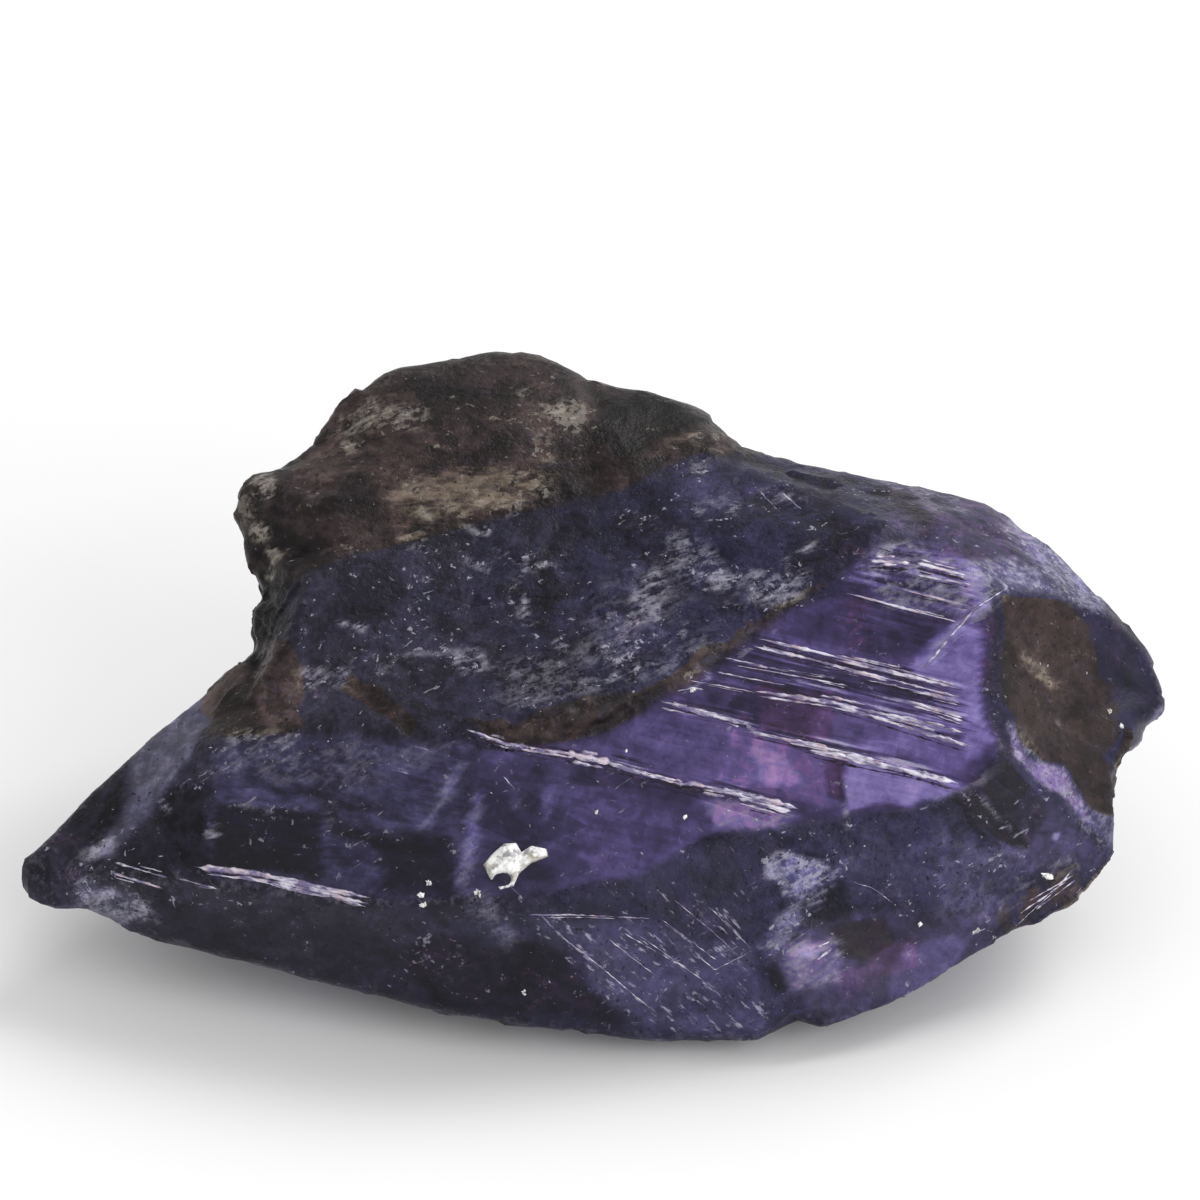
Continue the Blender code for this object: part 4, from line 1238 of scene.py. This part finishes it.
class Ground:
    """The finished skin's front, for what lies on it."""

    # How far to each side of a place the skin's points are looked through, in millimetres.
    NEAR = 0.6

    def __init__(self, points, normals):
        seen = normals @ OUT > 0.08
        place = on_front(points[seen])
        order = np.argsort(place[:, 0])
        self.place = place[order]
        self.normals = (normals[seen] @ FRONT.T)[order]

    def out_at(self, across, up):
        """How far out the skin is at each place, and its normal there. Each of the four nearest points of
        the skin carries its own flat plane to the place, and the nearer planes count for more."""
        out = np.empty(len(across))
        normal = np.empty((len(across), 3))
        order = np.argsort(across)
        for part in np.array_split(order, math.ceil(len(order) / PLACES_AT_ONCE)):
            x, y = across[part, None], up[part, None]
            first, last = np.searchsorted(self.place[:, 0], (x.min() - self.NEAR, x.max() + self.NEAR))
            near_place, near_normal = self.place[first:last], self.normals[first:last]
            dx, dy = x - near_place[None, :, 0], y - near_place[None, :, 1]
            apart = dx * dx + dy * dy
            near = np.argpartition(apart, 4, axis=1)[:, :4]
            rows = np.arange(len(x))[:, None]
            n = near_normal[near]
            flat = near_place[near, 2] - (n[..., 0] * dx[rows, near] + n[..., 1] * dy[rows, near]) / n[..., 2]
            weight = 1 / (apart[rows, near] + 1e-4)
            weight /= weight.sum(axis=1, keepdims=True)
            out[part] = (weight * flat).sum(axis=1)
            normal[part] = (weight[..., None] * n).sum(axis=1)
        return out, unit(normal)

    def holds(self, across, up):
        """Whether each place has the front's skin close to it on every side."""
        held = np.empty(len(across), bool)
        for number, (x, y) in enumerate(zip(across, up)):
            first, last = np.searchsorted(self.place[:, 0], (x - self.NEAR, x + self.NEAR))
            away = self.place[first:last, :2] - (x, y)
            close = away[np.hypot(*away.T) < 0.3]
            held[number] = len(close) and (close.min(axis=0) < -0.1).all() and (close.max(axis=0) > 0.1).all()
        return held


def evenly(route, gap):
    """Points along a broken line, that far apart."""
    route = np.asarray(route, float)
    lengths = np.hypot(*(route[1:] - route[:-1]).T)
    so_far = np.concatenate(([0.0], np.cumsum(lengths)))
    places = np.linspace(0, so_far[-1], max(5, round(so_far[-1] / gap)))
    return np.stack([np.interp(places, so_far, route[:, k]) for k in (0, 1)], axis=1), places


def bars(ground, strokes, depth=0.0):
    """Low three-sided bars on the skin, or that deep under it. Each stroke is a path, its width along the
    path and its height: two feet lie sunk in the skin on both sides of the path, and a crest stands between
    them. The ends are closed by triangles."""
    places, lifts, starts, count = [], [], [], 0
    for path, wide, height in strokes:
        along = unit(np.gradient(path, axis=0))
        aside = np.stack((-along[:, 1], along[:, 0]), axis=1)
        sides = np.array((0.5, 0.0, -0.5))[None, :, None]
        places.append(path[:, None] + aside[:, None] * sides * wide[:, None, None])
        lift = np.full((len(path), 3), -0.012 - depth)
        lift[:, 1] = height * wide / wide.max() - depth
        lifts.append(lift)
        starts.append((count, len(path)))
        count += 3 * len(path)
    places = np.concatenate(places).reshape(-1, 2)
    out, normal = ground.out_at(places[:, 0], places[:, 1])
    points = np.column_stack((places, out)) + normal * np.concatenate(lifts).reshape(-1, 1)
    step = np.concatenate([start + 3 * np.arange(n - 1) for start, n in starts])[:, None]
    turns = ((k, (k + 1) % 3) for k in range(3))
    quads = np.concatenate([np.hstack((step + k, step + m, step + 3 + m, step + 3 + k)) for k, m in turns])
    first = np.array([start for start, _ in starts])[:, None]
    last = np.array([start + 3 * n - 3 for start, n in starts])[:, None]
    caps = np.concatenate((first + (0, 2, 1), last + (0, 1, 2)))
    return in_row(points), [quads, caps]


def crests(lines, strands, seed):
    """Each line as several thin strands side by side, broken here and there, with torn sides: their width
    and their path waver at random along them."""
    rng = np.random.default_rng(seed)
    strokes = []
    for route, width, height in lines:
        for strand in range(strands):
            path, places = evenly(route, 0.05)
            begin, end = sorted(rng.uniform(0, 1, 2)) if strand else (0.0, 1.0)
            kept = (places >= begin * places[-1]) & (places <= end * places[-1])
            if kept.sum() < 8:
                continue
            path, places = path[kept], places[kept] - places[kept][0]
            spot = np.stack((places, np.full(len(places), rng.uniform(0, 60)), 0 * places), 1)
            along = unit(np.gradient(path, axis=0))
            aside = np.stack((-along[:, 1], along[:, 0]), axis=1)
            shift = rng.uniform(-0.7, 0.7) * width if strand else 0.0
            shift = shift + 0.025 * waves(spot, 1.4, seed) + 0.010 * waves(spot, 0.12, seed + 1)
            share = places / places[-1]
            ends = np.minimum(smooth(share, 0.0, 0.08), 1 - smooth(share, 0.9, 1.0))
            ragged = 0.72 + 0.30 * waves(spot, 0.8, seed + 2) + 0.40 * waves(spot, 0.13, seed + 3)
            ragged = np.clip(ragged, 0.06, 1.3)
            thick = width * (0.75 if strand == 0 else 0.45)
            strokes.append((path + aside * shift[:, None], thick * ragged * (0.05 + 0.95 * ends), height))
    return strokes


# Growth lines and ledges that catch the light, their pale crests partly painted glints: route, width, height.
FACE_CRESTS = (
    (((4.1, 1.65), (9.5, 0.3)), 0.18, 0.05),
    (((4.0, 1.45), (9.5, 0.05)), 0.16, 0.04),
    (((8.0, 0.3), (9.4, -0.05)), 0.14, 0.03),
    (((8.0, 0.0), (9.5, -0.45)), 0.14, 0.03),
    (((8.2, -0.1), (9.5, -0.55)), 0.13, 0.03),
    (((4.0, 0.25), (6.1, -0.05), (9.6, -0.85)), 0.23, 0.06),
    (((6.1, -0.1), (9.7, -1.2)), 0.24, 0.06),
    (((6.4, 2.85), (9.4, 2.05)), 0.14, 0.04),
    (((7.9, 2.9), (9.7, 2.45)), 0.11, 0.03),
    (((8.3, 3.3), (9.7, 3.05)), 0.14, 0.03),
    (((7.1, 3.65), (8.1, 3.6)), 0.23, 0.03),
    (((8.3, 3.6), (9.6, 3.25)), 0.17, 0.03),
    (((3.2, 1.15), (5.0, 0.75)), 0.08, 0.02),
    (((3.5, 0.95), (6.6, 0.35)), 0.08, 0.02),
    (((3.0, 0.75), (4.9, 0.4)), 0.08, 0.02),
    (((4.4, 0.9), (6.2, 0.6)), 0.07, 0.02),
    (((2.3, 0.55), (4.1, 0.2)), 0.08, 0.02),
    (((6.6, 1.15), (7.9, 0.85)), 0.08, 0.02),
    (((6.9, 0.55), (9.4, 0.0)), 0.08, 0.02),
)
LEDGE_CRESTS = (
    (((-3.5, -0.75), (-2.5, -1.1), (-0.6, -1.4)), 0.2, 0.04),
    (((-0.9, -1.36), (0.3, -1.6)), 0.33, 0.05),
    (((0.1, -1.58), (1.2, -1.93), (2.3, -2.2)), 0.2, 0.05),
    (((2.1, -2.1), (3.5, -2.35), (5.2, -2.8)), 0.28, 0.05),
    (((3.6, -2.5), (5.0, -2.9)), 0.18, 0.04),
    (((1.6, 0.0), (3.7, -0.6)), 0.16, 0.05),
    (((1.6, -0.2), (2.6, -0.42)), 0.09, 0.03),
    (((3.9, -0.8), (6.9, -1.45)), 0.22, 0.05),
    (((5.4, -1.25), (8.2, -1.85), (9.4, -2.15)), 0.3, 0.06),
)
# Pale lines on the low ridge at the left, partly crushed crystal and partly painted glints: route, width,
# height.
RIDGE_CRESTS = (
    (((-12.7, -4.2), (-11.3, -4.6)), 0.14, 0.04),
    (((-12.8, -4.5), (-11.4, -4.9)), 0.11, 0.03),
    (((-11.0, -4.65), (-10.0, -4.9)), 0.11, 0.04),
    (((-10.6, -4.32), (-9.0, -4.5), (-7.4, -4.85), (-6.0, -5.1)), 0.28, 0.07),
    (((-9.6, -4.55), (-8.0, -4.8), (-6.0, -5.28)), 0.21, 0.05),
    (((-8.6, -4.72), (-7.0, -5.05), (-6.1, -5.36)), 0.14, 0.03),
)
# Cracks sealed inside the crystal, seen through the clear face: route, width, height.
VEILS = (
    (((-3.4, -1.5), (-3.9, -2.2), (-4.3, -2.9), (-4.5, -3.5)), 0.34, 0.05),
    (((-3.15, -2.0), (-3.3, -3.4), (-3.6, -4.7)), 0.3, 0.05),
    (((-2.3, -1.9), (-2.2, -2.9), (-2.4, -3.6)), 0.22, 0.04),
    (((-1.2, -2.0), (-1.4, -3.2)), 0.24, 0.04),
    (((0.2, -2.4), (0.9, -3.4)), 0.2, 0.04),
    # These two are partly sealed cracks and partly painted light reflected inside the crystal.
    (((5.2, -6.2), (5.8, -6.6)), 0.5, 0.06),
    (((5.9, -6.1), (6.2, -6.7)), 0.3, 0.06),
    (((7.6, 0.9), (8.6, 1.9), (9.0, 2.6)), 0.3, 0.05),
)
# Scratches, with the pale ridge at the gem's upper right and painted glints on the window: route, width,
# height.
SCRATCHES_AND_GLINTS = (
    (RIDGE, 0.1, 0.04),
    (((10.9, -5.9), (11.9, -5.0), (12.4, -4.4)), 0.08, 0.02),
    (((11.4, -5.5), (12.5, -4.7)), 0.1, 0.02),
    (((-1.9, -5.55), (-0.6, -5.55), (1.35, -5.65)), 0.1, 0.02),
    (((-1.0, -6.1), (0.2, -7.1), (1.4, -8.1)), 0.09, 0.015),
    (((0.6, -6.0), (2.4, -7.1)), 0.09, 0.015),
    (((2.8, -5.3), (3.9, -6.4)), 0.05, 0.012),
    (((1.9, -5.1), (3.7, -6.7)), 0.05, 0.012),
    (((2.5, -6.6), (3.0, -7.0), (3.9, -6.55)), 0.07, 0.015),
    (((1.0, -6.1), (2.7, -7.3)), 0.06, 0.012),
    (((0.2, -6.2), (1.5, -7.2)), 0.06, 0.012),
    (((1.6, -5.7), (3.1, -6.8)), 0.05, 0.012),
    (((6.4, -4.65), (7.1, -4.85), (7.7, -5.3)), 0.06, 0.012),
    (((11.0, -5.6), (12.2, -4.75)), 0.09, 0.02),
    (((11.2, -5.3), (12.4, -4.6)), 0.08, 0.02),
    (((4.2, 5.5), (4.7, 4.95)), 0.1, 0.02),
    (((4.8, 5.45), (5.3, 5.0)), 0.1, 0.02),
    (((2.0, 0.25), (2.4, 0.35), (2.7, 0.3)), 0.09, 0.04),
    # The next five are painted glints on the window, drawn as short pale scratches.
    (((5.2, -6.4), (5.45, -6.15)), 0.16, 0.02),
    (((5.5, -6.5), (6.0, -6.25)), 0.16, 0.02),
    (((5.65, -6.75), (6.05, -6.45)), 0.12, 0.02),
    (((5.3, -6.75), (5.5, -6.6)), 0.1, 0.02),
    (((9.7, -6.1), (10.1, -5.95)), 0.1, 0.02),
    (((-2.5, -1.95), (-2.2, -2.3)), 0.07, 0.02),
)
# White grains too large to be dust, some of them painted glints of the light: place and size.
GRAINS_AND_GLINTS = (
    ((-4.45, -4.7), 0.11),
    ((-4.65, -5.05), 0.09),
    ((-4.6, -5.28), 0.13),
    ((-3.15, -4.95), 0.12),
    ((13.4, -0.3), 0.13),
    ((13.7, -0.7), 0.1),
    ((11.75, -4.62), 0.17),
    ((8.35, -5.85), 0.1),
    ((9.85, -6.05), 0.12),
    ((-0.1, -2.9), 0.07),
    ((2.2, -3.0), 0.08),
    ((-2.0, -7.6), 0.07),
    ((0.7, -1.3), 0.06),
    ((2.45, 0.3), 0.1),
)
# Flecks of crushed crystal: middle, half size, how many, and which way they run.
FLECK_AREAS = (
    ((1.3, 2.4), (0.8, 1.1), 20, 60),
    ((2.9, 3.3), (1.5, 0.8), 20, -30),
    ((4.6, 2.9), (1.1, 0.8), 16, 20),
    ((1.0, 0.9), (3.0, 0.8), 23, 10),
    ((-3.0, 0.9), (2.2, 1.0), 16, 0),
    ((-7.0, 0.5), (1.4, 0.7), 12, 0),
    ((-4.0, 2.5), (5.0, 2.2), 20, 0),
    ((4.0, 4.8), (2.4, 1.2), 10, 40),
    ((-0.5, -3.0), (2.2, 1.4), 13, -20),
    ((2.6, -1.6), (2.0, 0.8), 5, -15),
    ((4.0, -2.9), (1.6, 0.5), 11, -15),
    ((-9.0, -1.1), (1.6, 0.5), 10, 0),
    ((8.0, -4.3), (3.0, 1.4), 8, -20),
    ((6.0, -6.6), (1.8, 1.0), 11, 20),
    ((-3.6, 5.1), (2.4, 0.6), 5, -5),
    ((11.5, 0.9), (1.2, 1.1), 15, -50),
    ((9.0, 4.4), (2.4, 1.0), 10, -20),
    ((1.0, -7.0), (4.0, 1.6), 10, -44),
    ((-12.6, -4.4), (1.6, 0.9), 10, -15),
)

# The crumb's outline from its middle, and the hole in it: middle, half length and half height.
CRUMB_MIDDLE = (-2.2, -4.2)
CRUMB_OUTLINE = (
    (-0.85, -0.05), (-0.62, 0.22), (-0.3, 0.5), (0.02, 0.52), (0.16, 0.28), (0.45, 0.44), (0.82, 0.36),
    (0.86, 0.16), (0.4, -0.02), (0.1, -0.28), (-0.05, -0.62), (-0.4, -0.7), (-0.66, -0.42),
)
CRUMB_HOLE = ((-2.55, -4.62), (0.3, 0.22))
CRUMB_HEIGHT = 0.34
DUST_GRAINS = 450


def add_crystal():
    points, mark = crystal_skin()
    faces = closed_grid_faces(RINGS - 1, LINES)
    shown = {name: mark[name] for name in MARKS}
    obj = piece("tanzanite", points, faces, crystal_finish(), "tanzanite", shown)
    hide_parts("tanzanite_crystal")
    normals = np.empty(len(points) * 3, np.float32)
    obj.data.vertex_normals.foreach_get("vector", normals)
    normals = normals.reshape(-1, 3).astype(float)
    return Ground(points, normals), points, normals, mark


def add_crumb(ground):
    """The white crumb: a low lumpy dome on an outline, drawn as rings from the outline to the top, closed
    underneath by one point below the skin."""
    middle = np.array(CRUMB_MIDDLE)
    rim, _ = evenly(CRUMB_OUTLINE + CRUMB_OUTLINE[:1], 0.035)
    rim = rim[:-1]
    shares = np.linspace(1.0, 0.0, 18)[:-1]
    rings = []
    for share in shares:
        place = middle + rim * share
        out, normal = ground.out_at(place[:, 0], place[:, 1])
        dome = (1 - share**4) ** 0.5
        lump = 0.75 + 0.35 * rough(np.column_stack((place, place[:, :1] * 0)), 0.3, 3, 7)
        hole = patch(place[:, 0], place[:, 1], *CRUMB_HOLE)
        high = CRUMB_HEIGHT * dome * lump - 0.02 - 0.6 * hole
        rings.append(np.column_stack((place, out)) + normal * high[:, None])
    top_out, top_normal = ground.out_at(middle[None, 0], middle[None, 1])
    top = np.array((*middle, top_out[0])) + top_normal[0] * 0.3
    foot = np.array((*middle, top_out[0])) - top_normal[0] * 0.25
    points = in_row(np.concatenate((np.concatenate(rings), (foot, top))))
    quads, ends = closed_grid_faces(len(rings), len(rim))
    obj = piece("crumb", points, [quads, ends], crumb_finish(), "white_mineral")
    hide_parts("white_crumb")
    return obj


def grains(places, normals, sizes, stretch, run, seed):
    """Many small stones in one mesh. Each is an eight-sided double pyramid, half sunk in the skin, that
    long, wide and high by its own stretch, with its length turned that many radians from across the
    front."""
    rng = np.random.default_rng(seed)
    tips = np.array(((1, 0, 0), (-1, 0, 0), (0, 1, 0), (0, -1, 0), (0, 0, 1), (0, 0, -1)), float)
    sides = np.array(((0, 2, 4), (2, 1, 4), (1, 3, 4), (3, 0, 4), (2, 0, 5), (1, 2, 5), (3, 1, 5), (0, 3, 5)))
    heading = np.cos(run)[:, None] * FRONT[0] + np.sin(run)[:, None] * FRONT[1]
    first = unit(heading - (heading * normals).sum(axis=1, keepdims=True) * normals)
    second = np.cross(normals, first)
    frames = np.stack((first, second, normals), axis=1)
    size = sizes[:, None] * stretch * rng.uniform(0.6, 1.3, (len(places), 3))
    corners = np.einsum("nk,tk,nkj->ntj", size, tips, frames)
    corners *= rng.uniform(0.6, 1.25, (len(places), 6, 1))
    points = (places[:, None] + corners).reshape(-1, 3)
    faces = (np.arange(len(places))[:, None, None] * 6 + sides).reshape(-1, 3)
    return points, faces


def boxed(points):
    """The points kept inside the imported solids' own box."""
    low, high = (np.array(corner) / MM for corner in CAD_BOX)
    return np.clip(points, low, high)


def add_dust(points, normals, mark):
    """Round grains of dust all over the skin, most of them where it is frosted."""
    rng = np.random.default_rng(5)
    weight = 0.01 + (mark["haze"] ** 2 + 0.03 * (1 - mark["clear"])) * (1 - mark["brown"])
    chosen = rng.choice(len(points), DUST_GRAINS, replace=False, p=weight / weight.sum())
    sizes = 0.012 + 0.03 * rng.random(len(chosen)) ** 4
    run = rng.uniform(0, math.tau, len(chosen))
    mesh_points, faces = grains(points[chosen], normals[chosen], sizes, (1.0, 0.8, 0.5), run, 6)
    piece("dust", boxed(mesh_points), [faces], dust_finish(), "white_mineral", smooth_faces=False)


def add_crest_shadows(ground, material):
    """A painted shadow under each crest: a dark, flatter bar on a route just below the crest's own."""
    below = [
        (np.array(route) - (0.02, 0.5 * width + 0.03), width, 0.006)
        for route, width, _ in FACE_CRESTS + LEDGE_CRESTS
    ]
    piece("painted_crest_shadow_bars", *bars(ground, crests(below, 3, 151)), material, "tanzanite")


def add_flakes(ground):
    """Small flat flakes of crushed crystal, scattered at random in each fleck area."""
    rng = np.random.default_rng(171)
    middles, sizes, runs = [], [], []
    for middle, size, count, run in FLECK_AREAS:
        middles.append(middle + rng.normal(0, 0.5, (count, 2)) * size)
        sizes.append(0.014 + 0.045 * rng.random(count) ** 4)
        runs.append(np.radians(run + rng.normal(0, 35, count)))
    middles, sizes, runs = np.concatenate(middles), np.concatenate(sizes), np.concatenate(runs)
    held = ground.holds(middles[:, 0], middles[:, 1])
    middles, sizes, runs = middles[held], sizes[held], runs[held]
    out, normals = ground.out_at(middles[:, 0], middles[:, 1])
    places = in_row(np.column_stack((middles, out)))
    points, faces = grains(places, normals @ FRONT, sizes, (1.6, 0.6, 0.3), runs, 172)
    piece("flakes", boxed(points), [faces], dust_finish(), "white_mineral", smooth_faces=False)


def add_grains_and_glints(ground):
    """White grains one by one, some of them painted glints: each a lumpy pebble made of four crossing double
    pyramids.
    """
    rng = np.random.default_rng(181)
    middles = np.array([place for place, _ in GRAINS_AND_GLINTS]).repeat(4, axis=0)
    sizes = np.array([size for _, size in GRAINS_AND_GLINTS]).repeat(4) * rng.uniform(0.5, 0.9, len(middles))
    middles = middles + rng.normal(0, 0.35, middles.shape) * sizes[:, None]
    out, normals = ground.out_at(middles[:, 0], middles[:, 1])
    places = in_row(np.column_stack((middles, out)))
    runs = rng.uniform(0, math.tau, len(middles))
    points, faces = grains(places, normals @ FRONT, sizes, (1.0, 0.8, 0.6), runs, 182)
    piece("white_grains_and_glints", boxed(points), [faces], crumb_finish(), "white_mineral", smooth_faces=False)


# The studio, in metres and watts: half the floor's width, how bright the room is, and each lamp's name,
# azimuth, elevation, distance, size and power.
FLOOR_REACH = 3.0
ROOM_LIGHT = 0.63
SOFTBOXES = (
    ("back_softbox", 128.0, 46.0, 0.7, 0.4, 2.7),
    ("front_softbox", 48.0, 24.0, 0.9, 0.7, 3.6),
)
# The camera's distance, what its frame spans there, and how far up the front it aims, in millimetres.
CAMERA_DISTANCE = 400.0
FRAME_WIDTH = 31.58
SENSOR_WIDTH = 36.0
AIM_UP = 2.632


def add_floor():
    mesh = bpy.data.meshes.new("floor")
    far = FLOOR_REACH
    mesh.from_pydata([(-far, -far, 0), (far, -far, 0), (far, far, 0), (-far, far, 0)], [], [(0, 1, 2, 3)])
    floor = bpy.data.objects.new("floor", mesh)
    bpy.context.scene.collection.objects.link(floor)
    finish = Finish("white_paper")
    shader = finish.principled(Base_Color=(0.93, 0.93, 0.93, 1.0), Roughness=0.9, Specular_IOR_Level=0.1)
    mesh.materials.append(finish.shown(shader))


def add_softbox(name, azimuth, elevation, distance, size, power):
    """A square soft lamp that looks at the crystal. Azimuth 0 is in front and 90 to the right."""
    lamp = bpy.data.lights.new(name, "AREA")
    lamp.shape = "SQUARE"
    lamp.size = size
    lamp.energy = power
    obj = bpy.data.objects.new(name, lamp)
    bpy.context.scene.collection.objects.link(obj)
    turn, rise = math.radians(azimuth), math.radians(elevation)
    towards = Vector((math.sin(turn) * math.cos(rise), -math.cos(turn) * math.cos(rise), math.sin(rise)))
    obj.location = Vector(MIDDLE * MM) + towards * distance
    obj.rotation_mode = "QUATERNION"
    obj.rotation_quaternion = towards.to_track_quat("Z", "Y")


def add_studio():
    world = bpy.data.worlds.new("studio")
    bpy.context.scene.world = world
    world.use_nodes = True
    background = world.node_tree.nodes["Background"]
    background.inputs["Color"].default_value = (1.0, 1.0, 1.0, 1.0)
    background.inputs["Strength"].default_value = ROOM_LIGHT
    for softbox in SOFTBOXES:
        add_softbox(*softbox)
    bpy.context.scene.view_settings.view_transform = "Standard"
    bpy.context.scene.cycles.max_bounces = MOST_BOUNCES
    bpy.context.scene.cycles.transmission_bounces = MOST_BOUNCES


def add_camera():
    """The photograph's view: square on to the leaning front, from a good way off."""
    data = bpy.data.cameras.new("camera")
    data.sensor_width = SENSOR_WIDTH
    data.lens = SENSOR_WIDTH * CAMERA_DISTANCE / FRAME_WIDTH
    data.clip_start = 0.01
    data.clip_end = 20.0
    camera = bpy.data.objects.new("camera", data)
    bpy.context.scene.collection.objects.link(camera)
    aim = in_row((0.0, AIM_UP, 0.0))
    camera.location = Vector((aim + OUT * CAMERA_DISTANCE) * MM)
    camera.rotation_mode = "QUATERNION"
    camera.rotation_quaternion = Vector(OUT).to_track_quat("Z", "Y")
    bpy.context.scene.camera = camera


def main():
    ground, points, normals, mark = add_crystal()
    add_crumb(ground)
    # Pale crests: partly crushed crystal, partly painted glints of the light.
    worn = worn_and_glint_finish()
    ridges = crests(FACE_CRESTS + LEDGE_CRESTS + RIDGE_CRESTS, 4, 101)
    piece("growth_crests", *bars(ground, ridges), worn, "tanzanite")
    # Dark bars under the crests: painted shadows.
    add_crest_shadows(ground, crest_shadow_finish())
    piece("inner_veils", *bars(ground, crests(VEILS, 1, 191), 0.7), veil_finish(), "tanzanite")
    piece("scratches", *bars(ground, crests(SCRATCHES_AND_GLINTS, 2, 131)), worn, "tanzanite")
    add_flakes(ground)
    add_grains_and_glints(ground)
    add_dust(points, normals, mark)
    add_floor()
    add_studio()
    add_camera()


main()
